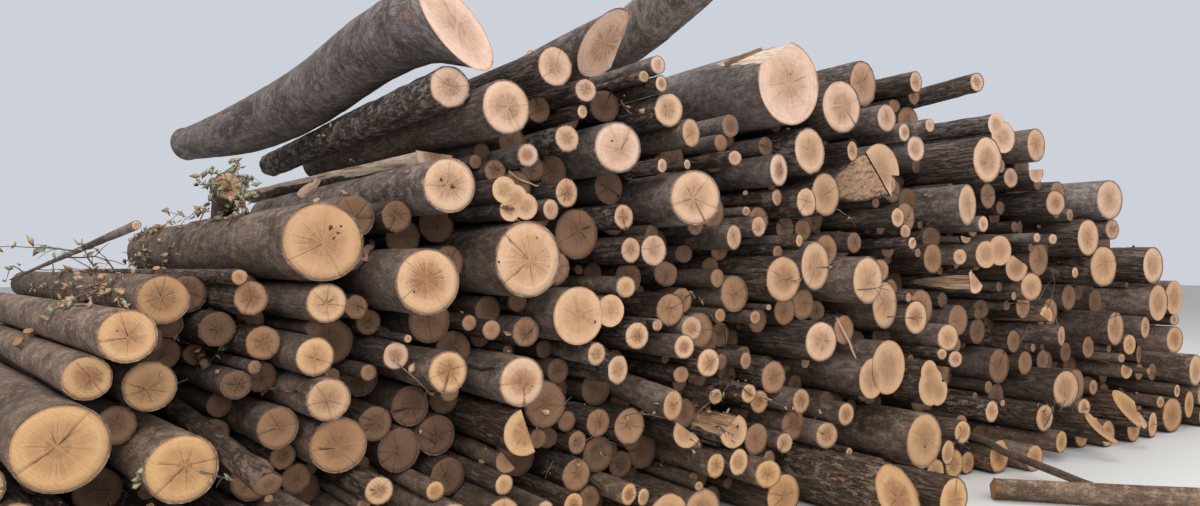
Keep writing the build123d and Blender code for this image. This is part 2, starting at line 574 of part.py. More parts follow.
def settle(m, placed, limit):
    """Let m sink or roll by at most the limit until two others carry it."""
    around = near(m, placed, limit)
    if steady(m, around):
        return True
    x, z = m.x, m.z
    best = None
    for i, p in enumerate(around):
        for q in around[i + 1:]:
            m.x, m.z = x, z
            if not solve_two(m, p, q):
                continue
            far = math.hypot(m.x - x, m.z - z)
            if far > limit or (best and far >= best[0]):
                continue
            if steady(m, (p, q)) and clear(m, placed):
                best = (far, m.x, m.z)
    if best:
        m.x, m.z = best[1], best[2]
        return True
    m.x, m.z = x, z
    return False


def drop(m, placed):
    """Let m sink straight down to what is under it, then settle."""
    for turn in range(200):
        gaps = [gap_to(m, n)[0] - seat_of(n) for n in near(m, placed, FALL_REACH)]
        least = min(gaps)
        if least < 0.02:
            break
        m.z -= max(0.02, FALL_STEP * least)
    settle(m, placed, 90.0)


dice = random.Random(31)


def filler(x, z, radius, recess=None):
    """A log set back from the front, of free size."""
    if recess is None:
        recess = dice.uniform(*FILL_RECESS)
    length = LOG_LENGTH + dice.uniform(-1.0, 0.4) * LENGTH_SPREAD - 0.45 * recess
    return Log(x, z, recess, radius, length, fan(x), 0.0, 0.0, "fill")


def prop(m, placed, ahead):
    """Put a log of fitting size under m, where it carries m from below."""
    around = near(m, placed, PROP_REACH)
    best = None
    recess = dice.uniform(*FILL_RECESS)
    for i, p in enumerate(around):
        for q in around[i + 1:]:
            for side in (-0.6, 0.0, 0.6):
                reach = m.radius + PROP_RADIUS
                down = reach * math.sqrt(1.0 - side * side)
                f = filler(m.x + side * reach, m.z - down, PROP_RADIUS, recess)
                if not solve_three(f, (m, p, q)):
                    continue
                if not 0.5 * FILL_SIZES[0] <= f.radius <= 0.5 * FILL_SIZES[1]:
                    continue
                g, nx, nz = contact(m, f)
                if nz < 0.25 or f.z - f.radius < -0.01:
                    continue
                if not clear(f, placed + [m]) or not clear(f, ahead, 14.0):
                    continue
                trial = [n for n in around] + [f]
                cost = (0 if steady(m, trial) else 200.0) + abs(f.radius - PROP_RADIUS) + 60.0 * abs(nx)
                cost += 0.0 if steady(f, (p, q)) else 90.0
                if best is None or cost < best[0]:
                    best = (cost, f)
    return best[1] if best else None


def surveyed():
    """The logs whose ends were surveyed, lowest first."""
    logs = []
    for row in SURVEY:
        x, z, width, height, proud = (v * CM for v in row[:5])
        rise = row[5] if len(row) > 5 else dice.uniform(-RISE_SPREAD, RISE_SPREAD)
        scale = 1.0 - proud / EYE_DISTANCE
        oblique = x / EYE_DISTANCE
        if oblique > OBLIQUE:
            size = height
            cut = (width / height - 1.0) / oblique
            cut = max(-CUT_LIMIT, min(CUT_LIMIT, cut))
        else:
            size = 0.5 * (width + height)
            cut = dice.uniform(-CUT_SPREAD, CUT_SPREAD)
        length = LOG_LENGTH + dice.uniform(-1.0, 1.0) * LENGTH_SPREAD
        turn = fan(x) + dice.uniform(-TURN_SPREAD, TURN_SPREAD)
        z = EYE_HEIGHT + (z - EYE_HEIGHT) * scale
        radius = 0.5 * size * scale - PARING
        m = Log(x * scale, z, -proud, radius, length, turn, rise, cut, "survey")
        m.flats = tuple(("flat",) + flat for flat in FLATS.get(row[:2], ()))
        logs.append(m)
    for name, x, z, width, height, proud, rise, turn, lobes, bevel, cuts in SPECIAL:
        x, z, width, height, proud = x * CM, z * CM, width * CM, height * CM, proud * CM
        scale = 1.0 - proud / EYE_DISTANCE
        z = EYE_HEIGHT + (z - EYE_HEIGHT) * scale
        length = LOG_LENGTH + dice.uniform(-1.0, 1.0) * LENGTH_SPREAD
        radius = 0.5 * height * scale - PARING
        cut = 0.0
        if x > OBLIQUE * EYE_DISTANCE:
            cut = max(-CUT_LIMIT, min(CUT_LIMIT, (width / height - 1.0) / (x / EYE_DISTANCE)))
        length = SHORT.get(name, length)
        m = Log(x * scale, z, -proud, radius, length, turn, rise, cut, "special")
        m.name = name
        m.bevel = bevel
        m.flats = tuple(item for item in cuts if item[0] == "flat")
        m.steps = tuple(item for item in cuts if item[0] == "step")
        m.lobes = tuple(tuple(v * CM for v in lobe) for lobe in lobes)
        logs.append(m)
    logs.sort(key=lambda m: m.z - spread(m))
    return logs


def lay_on_ground(m):
    """Tilt a log by its own taper so that its whole underside lies flat."""
    rise = math.degrees(math.atan(TAPER / 2000.0))
    n = Log(m.x, m.radius, m.front, m.radius, m.length, m.turn, rise, m.cut, m.kind)
    n.z = m.radius / n.cz
    n.name, n.bevel, n.lobes, n.flats, n.steps = m.name, m.bevel, m.lobes, m.flats, m.steps
    return n


def base_courses(ahead):
    """The plain courses under the surveyed ends."""
    placed = []
    x = STACK_LEFT
    while x < STACK_RIGHT:
        radius = 0.5 * dice.uniform(*BASE_SIZES)
        front = dice.uniform(*GROUND_FRONTS)
        length = LOG_LENGTH + dice.uniform(-1.0, 1.0) * LENGTH_SPREAD
        m = Log(x + radius, radius, front, radius, length, fan(x + radius), 0.0, 0.0, "base")
        m = lay_on_ground(m)
        tries = 0
        while tries < SIDE_TRIES and not (clear(m, placed) and clear(m, ahead, ROOM_AHEAD)):
            m.x += SIDE_STEP
            tries += 1
        if tries < SIDE_TRIES and m.x + radius < STACK_RIGHT:
            if placed:
                last = placed[-1]
                g = contact(m, last)[0]
                if 0 < g < 60.0:
                    m.x -= g - SEAT_GAP
                    if not clear(m, ahead, ROOM_AHEAD):
                        m.x += g - SEAT_GAP
            placed.append(m)
        x = m.x + radius if tries < SIDE_TRIES else m.x
    for course in range(COURSE_TRIES):
        radius = 0.5 * dice.uniform(*BASE_SIZES)
        x = dice.uniform(STACK_LEFT, STACK_RIGHT)
        top = min(along(SLOPE, x), along(HIDDEN, x))
        if top < 2.2 * radius:
            continue
        spot = best_low(placed, ahead, x, radius, top)
        if spot:
            placed.append(spot)
    return placed


def best_low(placed, ahead, x, radius, top):
    """The lowest carried place near x for a log of this size."""
    front = dice.uniform(*COURSE_FRONTS)
    length = LOG_LENGTH + dice.uniform(-1.0, 1.0) * LENGTH_SPREAD
    turn = fan(x) + dice.uniform(-LOW_TURN_SPREAD, LOW_TURN_SPREAD)
    m = Log(x, top, front, radius, length, turn, 0.0, 0.0, "base")
    crowd = []
    for n in placed:
        if abs(n.x - x) < n.radius + radius + 90.0:
            crowd.append((n.z, n))
    crowd.sort(key=lambda item: -item[0])
    crowd = [n for z, n in crowd[:9]]
    best = None
    for i, p in enumerate(crowd):
        for q in crowd[i + 1:]:
            if abs(p.x - q.x) > p.radius + q.radius + 2.0 * radius:
                continue
            m.x = 0.5 * (p.x + q.x)
            m.z = max(p.z, q.z) + radius
            if not solve_two(m, p, q) or m.z + radius > top:
                continue
            if best and m.z >= best[0]:
                continue
            if not steady(m, (p, q)):
                continue
            if clear(m, placed) and clear(m, ahead, 4.0):
                best = (m.z, m.x)
    if not best:
        return None
    m.z, m.x = best
    return m


def fill_gaps(placed):
    """Logs set back from the front in the hollows that remain, lowest first."""
    for sweep in range(FILL_SWEEPS):
        z = FILL_HEIGHTS[0]
        while z < FILL_HEIGHTS[1]:
            x = STACK_LEFT + FILL_START + dice.uniform(0.0, FILL_SHIFT)
            while x < STACK_RIGHT:
                if z < along(SLOPE, x) - 40.0:
                    f = filler(x, z, 0.5 * FILL_SIZES[0])
                    if clear(f, placed, 8.0):
                        grow(f, placed, along(SLOPE, x))
                x += FILL_GRID[0]
            z += FILL_GRID[1]


def grow(f, placed, top):
    """Widen a log until it fits snugly between its neighbours."""
    around = near(f, placed, REACH)
    around = sorted(around, key=lambda n: gap_to(f, n)[0])[:8]
    x, z = f.x, f.z
    best = None
    wish = 0.5 * dice.uniform(*BASE_SIZES)
    for i, p in enumerate(around):
        for j, q in enumerate(around[i + 1:]):
            f.x, f.z, f.radius = x, z, wish
            if solve_two(f, p, q) and f.z + 0.5 * f.radius < top:
                if steady(f, (p, q)) and clear(f, placed):
                    cost = 0.02 * f.z + math.hypot(f.x - x, f.z - z) - 40.0
                    if best is None or cost < best[3]:
                        best = (f.x, f.z, f.radius, cost)
            for s in around[i + j + 2:]:
                f.x, f.z, f.radius = x, z, 0.5 * FILL_SIZES[0]
                if not solve_three(f, (p, q, s)):
                    continue
                if not 0.5 * FILL_SIZES[0] <= f.radius <= 0.5 * FILL_SIZES[1]:
                    continue
                if f.z + 0.6 * f.radius > top or not steady(f, (p, q, s)):
                    continue
                if not clear(f, placed):
                    continue
                cost = 150.0 - 2.0 * f.radius
                if best is None or cost < best[3]:
                    best = (f.x, f.z, f.radius, cost)
    if best:
        f.x, f.z, f.radius = best[:3]
        placed.append(f)


def stack():
    """All the logs, each in its place."""
    ahead = surveyed()
    placed = base_courses(ahead)
    while ahead:
        m = ahead.pop(0)
        if m.z - m.radius < LYING_LOW and not m.lobes:
            m = lay_on_ground(m)
        shrink_to_fit(m, placed)
        if not settle(m, placed, DROP_LIMIT):
            for turn in range(2):
                f = prop(m, placed, ahead)
                if f is None:
                    break
                placed.append(f)
                if steady(m, near(m, placed, 5.0)):
                    break
            if not steady(m, near(m, placed, 5.0)):
                settle(m, placed, 4.0 * DROP_LIMIT)
        placed.append(m)
    for m in list(placed):
        if m.kind in ("survey", "special") and not near(m, placed, 0.9):
            drop(m, placed)
    fill_gaps(placed)
    for name, slope, heart in BENT_TRUNKS:
        m = Trunk(name, slope, heart)
        while not clear(m, placed):
            m.z += CM
        drop(m, placed)
        placed.append(m)
    return placed


def direction(m):
    return Vector(m.kx, 1.0, m.kz).normalized()


def cone_along(x, y, z, way, radius, length, taper):
    """A cone that starts at a point and tapers along a direction."""
    plane = Plane(origin=(x, y, z), z_dir=way)
    small = max(radius - taper * length, 3.0)
    if abs(radius - small) < 1e-6:
        return Solid.make_cylinder(radius, length, plane)
    return Solid.make_cone(radius, small, length, plane)


def log_solid(m):
    """The log: a long cone sawn off at both ends, joined with its lobes."""
    way = direction(m)
    taper = TAPER / 2000.0
    if m.kind in ("fill", "base"):
        return cone_along(m.x, m.front, m.z, way, m.radius, m.length, taper)
    spare = m.radius * (1.0 + 1.4 * (abs(m.cut) + abs(m.bevel)))
    start = Vector(m.x, m.front, m.z) - way * spare
    whole = cone_along(*start, way, m.radius + spare * taper, m.length + 2.0 * spare, taper)
    for dx, dz, size, length in m.lobes:
        at = start + Vector(dx, 0.0, dz)
        depth = max(length - 0.5 * size, 20.0) + spare
        lobe = cone_along(*at, way, 0.5 * size + spare * taper, depth, taper)
        tip = at + way * depth
        lobe = lobe.fuse(Solid.make_sphere(0.5 * size - depth * taper).moved(Location(tip)))
        whole = whole.fuse(lobe)
    facing = Vector(m.cut, 1.0, m.bevel).normalized()
    whole = sawn(whole, (m.x, m.front, m.z), facing)
    far = Vector(m.x, m.front, m.z) + way * m.length
    lean = random.Random(int(m.x * 7 + m.z * 13))
    facing = Vector(lean.uniform(-0.1, 0.1), -1.0, lean.uniform(-0.1, 0.1)).normalized()
    if m.askew():
        facing = way * -1.0
    whole = sawn(whole, far, facing)
    for kind, angle, share, run in m.flats:
        whole = flattened(whole, m, way, angle, share, run * CM)
    for kind, dx, dz, wide, high, deep in m.steps:
        low = Vector(m.x + CM * dx, m.front - 3.0 * m.radius, m.z + CM * dz)
        block = Solid.make_box(CM * wide, 3.0 * m.radius + CM * deep, CM * high, Plane(origin=low))
        whole = max((whole - block).solids(), key=lambda part: part.volume)
    return whole


def flattened(shape, m, way, angle, share, run):
    """The log with a flat along it, which leaves the bark after a run."""
    side = way.cross(Vector(0.0, 0.0, 1.0)).normalized()
    up = side.cross(way)
    turn = math.radians(angle)
    out = side * math.cos(turn) + up * math.sin(turn)
    point = Vector(m.x, m.front, m.z) + out * (share * m.radius)
    if run > 0.0:
        out = (out * run - way * ((1.0 - share) * m.radius)).normalized()
    return sawn(shape, point, out * -1.0)


def trunk_solid(m):
    """The bent trunk: rings along its heart line, joined and sawn in front."""
    spans = m.forms()
    ways = [direction(n) for n in spans]
    last = spans[-1]
    end = last.at(last.back)
    rings = [(n.x, n.front, n.z, n.radius) for n in spans] + [(end[0], last.back, end[1], end[2])]
    wires = []
    for i, (x, y, z, radius) in enumerate(rings):
        way = (ways[max(0, i - 1)] + ways[min(len(ways) - 1, i)]).normalized()
        across = way.cross(Vector(0.0, 0.0, 1.0)).normalized()
        wires.append(Wire.make_circle(radius, Plane(origin=(x, y, z), x_dir=across, z_dir=way)))
    whole = Solid.make_loft(wires, ruled=True)
    first = spans[0]
    sideways, upward = m.slope
    facing = Vector(sideways, 1.0, upward).normalized()
    point = (first.x, first.front + first.radius * (abs(sideways) + abs(upward)), first.z)
    return sawn(whole, point, facing)


def sawn(shape, point, keep):
    """What lies on the kept side of a plane."""
    found = shape.split(Plane(origin=point, z_dir=keep), keep=Keep.TOP)
    pieces = found if isinstance(found, list) else [found]
    solids = [solid for piece in pieces for solid in piece.solids()]
    return max(solids, key=lambda solid: solid.volume)


def solid_of(m):
    return trunk_solid(m) if m.kind == "trunk" else log_solid(m)


def bay(m):
    wide = (STACK_RIGHT - STACK_LEFT) / BAYS
    return min(BAYS, max(1, 1 + int((m.x - STACK_LEFT) / wide)))


def groups(logs):
    """Logs of one bay that do not touch each other share a set."""
    sets = {}
    for m in logs:
        key = m.name if m.name in OWN else None
        if key is None and m.kind == "special" and m.lobes:
            key = "forked_logs"
        if key:
            sets.setdefault(key, []).append(m)
            continue
        for letter in LETTERS:
            key = f"bay_{bay(m)}_logs_{letter}"
            if all(contact(m, n)[0] > NODE_GAP for n in sets.get(key, ())):
                sets.setdefault(key, []).append(m)
                break
    return sets


BAYS = 8
LETTERS = "abcdefg"
OWN = (
    "leaning_post", "forked_butt", "notched_butt", "slanted_trunk", "torn_top_log", "wedge_butt",
    "bent_trunk", "high_trunk", "split_slab", "short_offcut", "ground_split_log",
)

logs = stack()
sets = groups(logs)
os.makedirs("parts", exist_ok=True)
shapes = {}
for name in sorted(sets):
    shapes[name] = [solid_of(m) for m in sets[name]]

# Middle of the footprint
boxes = [part.bounding_box() for parts in shapes.values() for part in parts]
left = min(box.min.X for box in boxes)
right = max(box.max.X for box in boxes)
front = min(box.min.Y for box in boxes)
back = max(box.max.Y for box in boxes)
home = Location((-0.5 * (left + right), -0.5 * (front + back), 0.0))
for name, parts in shapes.items():
    moved = [part.moved(home) for part in parts]
    export_step(Compound(children=moved) if len(moved) > 1 else moved[0], f"parts/{name}.step")
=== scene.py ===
import math

import bpy
import numpy as np
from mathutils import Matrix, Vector
from mathutils.bvhtree import BVHTree


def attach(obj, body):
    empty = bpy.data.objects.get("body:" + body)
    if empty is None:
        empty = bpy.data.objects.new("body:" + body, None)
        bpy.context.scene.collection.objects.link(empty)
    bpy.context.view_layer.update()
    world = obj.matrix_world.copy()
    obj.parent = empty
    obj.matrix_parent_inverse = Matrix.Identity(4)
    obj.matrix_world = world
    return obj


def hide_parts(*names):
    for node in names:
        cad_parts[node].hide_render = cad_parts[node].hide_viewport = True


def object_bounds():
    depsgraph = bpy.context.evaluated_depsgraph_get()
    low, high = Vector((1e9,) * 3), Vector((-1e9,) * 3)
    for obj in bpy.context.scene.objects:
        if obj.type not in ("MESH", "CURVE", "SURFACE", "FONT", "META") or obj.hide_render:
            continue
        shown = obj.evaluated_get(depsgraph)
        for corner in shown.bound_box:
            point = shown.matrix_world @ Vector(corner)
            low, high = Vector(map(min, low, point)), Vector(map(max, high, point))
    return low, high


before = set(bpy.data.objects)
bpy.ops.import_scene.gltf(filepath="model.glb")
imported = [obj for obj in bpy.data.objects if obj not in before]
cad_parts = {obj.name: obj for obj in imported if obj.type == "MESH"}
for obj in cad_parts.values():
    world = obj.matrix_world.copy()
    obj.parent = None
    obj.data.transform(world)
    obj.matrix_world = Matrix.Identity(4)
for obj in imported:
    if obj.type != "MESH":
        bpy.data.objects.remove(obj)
CAD_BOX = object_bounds()

# The looks of a long stack of round logs, in metres.  Every log is read from
# the frame: its axis, its radii and the planes of its two sawn ends.  Its bark
# and its ends are then built around it; a log that is split, forked or bent
# keeps the frame's own shape.  Twigs, leaves, strips, knots and stubs of
# branches are one more piece, laid on the logs along sight lines.

# Where the picture is taken from
EYE = Vector((-4.0575, -4.6415, 1.55))
EYE_PLACE = np.array(EYE)
EYE_TURN = math.radians(33.0)       # to the right of straight into the stack
LENS = 25.98
SENSOR = 36.0                       # width of the camera's sensor, as LENS in mm
HORIZON_SHIFT = 0.0075
PICTURE = (1200.0, 506.0)
FOCUS = LENS / SENSOR * PICTURE[0]    # in picture points
HORIZON = 0.5 * PICTURE[1] + HORIZON_SHIFT * PICTURE[0]
FRONT = EYE[1] + 3.78               # Y of the front of the stack

# How finely the logs are built
COLUMN_WIDTH = 0.029                # metres of bark between two columns
FEWEST_COLUMNS = 14
MOST_COLUMNS = 64
CLOSE_RING = 0.046                  # ring spacing on bark that shows well
SPLIT_RING = 0.032                  # ring spacing on a split log's front part
FAR_RING = 0.9                      # ring spacing on bark that is covered
ROUND_SIDES = 20                    # sides of a log that loose things lie on
SIGHT = 14.0                        # how far the eye looks for a place to lay things
COVER_SIGHT = 12.0                  # and how far cover is looked for
OFF_BARK = 0.012                    # how far off the bark that look starts
STATIONS = 9                        # places along a log where its cover is tested
CRACK_RADIUS = 0.062                # ends larger than this get cracks cut into them
BARK_LUMPS = 0.030                  # unevenness of a log, as a share of its radius

END_ZONE = 0.45                     # an end's faces lie within this of its tip
SLICE = 0.3                         # stretch of bark that a heart is found from
RING_TRIALS = 90                    # circles tried to find a heart
ON_ROUND = 0.0022                   # how near to a circle its points lie
INSET = 0.002                       # how far inside its ends a log is measured
END_FACETS = (0.026, 0.3)           # longest edges on a split log's two ends
SPLIT_ROUNDS = 14                   # rounds of splitting long edges, at most
FACET = 0.062                       # longest edge on a log of odd shape
CLOSE_FACET = 0.024                 # and at its front end
BENT = ("bent_trunk", "high_trunk")

# Looks of single logs, by the place of their front end in the picture: how
# furrowed the bark is, how much wear and painted shade darken its end and bark,
# and how pale and pink its wood is, each from 0 to 1, and the same for nodes by their name
LOOKS = (
    (485, 30, 0.42, 0.0, 1.0), (446, 82, 0.97, 0.1, 0.8), (499, 116, 0.5, 0.0, 0.7),
    (448, 185, 0.2, 0.0, 0.6), (322, 243, 0.12, 0.15, 0.25), (426, 283, 0.3, 0.0, 0.35),
    (528, 259, 0.3, 0.0, 0.45), (225, 158, 0.3, 0.1, 0.6), (127, 336, 0.2, 0.05, 0.15),
    (88, 377, 0.25, 0.1, 0.1), (60, 447, 0.2, 0.05, 0.08), (180, 469, 0.3, 0.0, 0.05),
    (150, 387, 0.3, 0.3, 0.15), (163, 299, 0.25, 0.45, 0.1), (245, 492, 1.0, 0.9, 0.0),
    (338, 446, 0.3, 0.5, 0.1), (327, 303, 0.45, 0.0, 0.35), (313, 354, 0.4, 0.0, 0.2),
    (787, 81, 0.25, 0.0, 1.0), (581, 315, 0.35, 0.0, 0.4), (695, 201, 0.3, 0.0, 0.6),
    (617, 148, 0.4, 0.0, 0.9), (923, 440, 0.2, 0.1, 0.2), (667, 45, 0.2, 0.0, 0.9),
)

LOOKS_OF_NODES = {
    "bent_trunk": (0.42, 0.0, 1.0), "high_trunk": (0.2, 0.0, 0.9), "short_offcut": (0.3, 0.1, 0.55),
    "split_slab": (0.6, 0.05, 1.0), "leaning_post": (1.0, 0.9, 0.0),
    "slanted_trunk": (0.3, 0.0, 0.9), "torn_top_log": (0.25, 0.0, 1.0),
}

# Places of loose things in the picture.  Knots: place and radius in metres.
KNOTS = (
    (441, 180, 0.008), (453, 187, 0.010), (331, 228, 0.011), (338, 233, 0.008), (341, 226, 0.006),
    (334, 238, 0.006), (228, 156, 0.020), (221, 161, 0.012), (649, 174, 0.012), (671, 173, 0.010),
    (537, 238, 0.005), (790, 74, 0.006), (414, 292, 0.006), (117, 331, 0.004), (595, 322, 0.007),
    (925, 447, 0.007), (499, 262, 0.006), (612, 141, 0.006),
)
# Sprigs and heaps: middle and spread in picture points, twigs, leaves, share
# of green leaves, longest twig in metres
HEAPS = (
    (234, 186, 13, 12, 130, 0.8, 0.20), (205, 205, 16, 10, 70, 0.5, 0.24),
    (165, 214, 22, 10, 40, 0.3, 0.40),
    (142, 236, 22, 14, 80, 0.2, 0.28), (76, 272, 26, 18, 80, 0.35, 0.42), (104, 292, 16, 9, 50, 0.2, 0.30),
    (60, 275, 16, 6, 16, 0.2, 0.30), (205, 372, 16, 6, 12, 0.0, 0.30), (322, 124, 8, 2, 10, 0.9, 0.10),
    (716, 412, 24, 13, 44, 0.05, 0.22), (695, 300, 6, 2, 8, 0.1, 0.10), (648, 112, 10, 2, 6, 0.1, 0.12),
    (1030, 318, 26, 9, 0, 0.0, 0.42), (880, 250, 40, 6, 0, 0.0, 0.30), (560, 452, 30, 5, 4, 0.0, 0.35),
    (1090, 400, 40, 7, 4, 0.0, 0.40), (430, 420, 60, 4, 4, 0.1, 0.25), (508, 205, 12, 3, 6, 0.2, 0.14),
    (790, 320, 60, 6, 8, 0.1, 0.25), (160, 470, 30, 4, 8, 0.2, 0.25),
)
# Strips of bark and torn wood: from and to in the picture, width and
# thickness in metres, and whether it is bark
STRIPS = (
    (303, 198, 321, 178, 0.060, 0.014, 0), (554, 450, 606, 491, 0.030, 0.006, 1),
    (205, 185, 262, 166, 0.020, 0.005, 1), (520, 190, 534, 204, 0.020, 0.006, 0),
    (512, 178, 540, 186, 0.016, 0.005, 0), (726, 66, 764, 50, 0.035, 0.004, 0),
    (366, 262, 374, 240, 0.045, 0.012, 0), (120, 262, 176, 244, 0.018, 0.005, 1),
    (700, 392, 735, 376, 0.030, 0.004, 1), (736, 428, 700, 440, 0.030, 0.004, 1),
    (843, 328, 862, 372, 0.020, 0.005, 0), (1120, 388, 1128, 436, 0.018, 0.004, 0),
    (262, 388, 300, 392, 0.016, 0.004, 1), (470, 366, 520, 380, 0.016, 0.004, 1),
)
POLE = ((971, 439), (1122, 498))    # a thin pole that leans on the front
POLE_RADIUS = 0.027
POLE_STEPS = 14
KNOT_SIDES = 14

BARK, WOOD, TORN, LEAF, KNOT = range(5)
FLOOR_SIZE = 60.0
# Lamps: name, place, what it aims at, size in metres and power in watts
LAMPS = (
    ("key", (-9.0, -11.0, 10.0), (0.0, 0.0, 1.0), 9.0, 1400.0),
    ("fill", (8.0, -13.0, 6.0), (1.0, 0.0, 1.0), 9.0, 650.0),
    ("front", (-3.5, -15.0, 4.4), (0.0, 0.0, 1.2), 6.0, 780.0),
    ("sky", (-1.0, 2.0, 15.0), (-0.5, 0.0, 0.0), 13.0, 1500.0),
    ("back", (4.0, 15.0, 8.0), (0.0, 0.0, 1.0), 9.0, 800.0),
)
TURN = 2.0 * math.pi


def unit(v):
    return v / np.linalg.norm(v, axis=-1, keepdims=True)


def around(count):
    """Evenly spaced angles of a full turn."""
    return np.arange(count) * TURN / count


def tree_of(points, tris):
    return BVHTree.FromPolygons([Vector(p) for p in points], tris.tolist())


def lattice(i, j, k, seed):
    """A fixed value from -1 to 1 for each whole-numbered place."""
    h = i.astype(np.uint32) * np.uint32(0x8DA6B343)
    h ^= j.astype(np.uint32) * np.uint32(0xD8163841)
    h ^= k.astype(np.uint32) * np.uint32(0xCB1AB31F)
    h ^= np.uint32((seed * 2654435761) & 0xFFFFFFFF)
    h ^= h >> np.uint32(15)
    h *= np.uint32(0x2C1B3C6D)
    h ^= h >> np.uint32(12)
    h *= np.uint32(0x297A2D39)
    h ^= h >> np.uint32(15)
    return h.astype(np.float64) / 2147483648.0 - 1.0


def noise(points, seed=0):
    """Smooth noise from about -1 to 1 at points with one cell to a unit."""
    low = np.floor(points).astype(np.int64)
    f = points - low
    f = f * f * (3.0 - 2.0 * f)
    total = 0.0
    for di in (0, 1):
        for dj in (0, 1):
            for dk in (0, 1):
                w = np.abs(1 - di - f[..., 0]) * np.abs(1 - dj - f[..., 1]) * np.abs(1 - dk - f[..., 2])
                total = total + w * lattice(low[..., 0] + di, low[..., 1] + dj, low[..., 2] + dk, seed)
    return total


def mesh_arrays(obj):
    """Points and triangles of a mesh object, with doubled points joined."""
    me = obj.data
    me.calc_loop_triangles()
    points = np.zeros(len(me.vertices) * 3, np.float32)
    me.vertices.foreach_get("co", points)
    tris = np.zeros(len(me.loop_triangles) * 3, np.int32)
    me.loop_triangles.foreach_get("vertices", tris)
    keys = np.round(points.reshape(-1, 3) * 20000.0).astype(np.int64)
    keys, weld = np.unique(keys, axis=0, return_inverse=True)
    return keys / 20000.0, weld.reshape(-1)[tris].reshape(-1, 3)


def islands(points, tris):
    """The separate bodies of a mesh, as (points, triangles) pairs."""
    label = np.arange(len(points))
    while True:
        low = label[tris].min(axis=1)
        new = label.copy()
        for corner in range(3):
            np.minimum.at(new, tris[:, corner], low)
        new = new[new]
        if np.array_equal(new, label):
            break
        label = new
    of_tri = label[tris[:, 0]]
    order = np.argsort(of_tri, kind="stable")
    starts = np.flatnonzero(np.diff(of_tri[order])) + 1
    for part in np.split(order, starts):
        used, local = np.unique(tris[part], return_inverse=True)
        yield points[used], local.reshape(-1, 3)


def circle_through(flat):
    """The circle that fits places on a plane best: its middle and radius."""
    rows = np.column_stack((2.0 * flat, np.ones(len(flat))))
    found = np.linalg.lstsq(rows, (flat ** 2).sum(axis=1), rcond=None)[0]
    return found[:2], math.sqrt(max(1e-6, found[2] + found[:2] @ found[:2]))


def ring_among(flat, dice):
    """The circle that most of the places lie on, and which of them do."""
    best = np.zeros(len(flat), bool)
    for _ in range(RING_TRIALS):
        trio = flat[dice.choice(len(flat), 3, replace=False)]
        if abs(np.linalg.det(np.column_stack((trio, np.ones(3))))) < 1e-5:
            continue
        middle, r = circle_through(trio)
        if not 0.014 < r < 0.3:
            continue
        on = np.abs(np.linalg.norm(flat - middle, axis=1) - r) < ON_ROUND
        if on.sum() > best.sum():
            best = on
    if best.sum() < 5:
        return None
    middle, r = circle_through(flat[best])
    return middle, r, np.abs(np.linalg.norm(flat - middle, axis=1) - r) < 1.6 * ON_ROUND


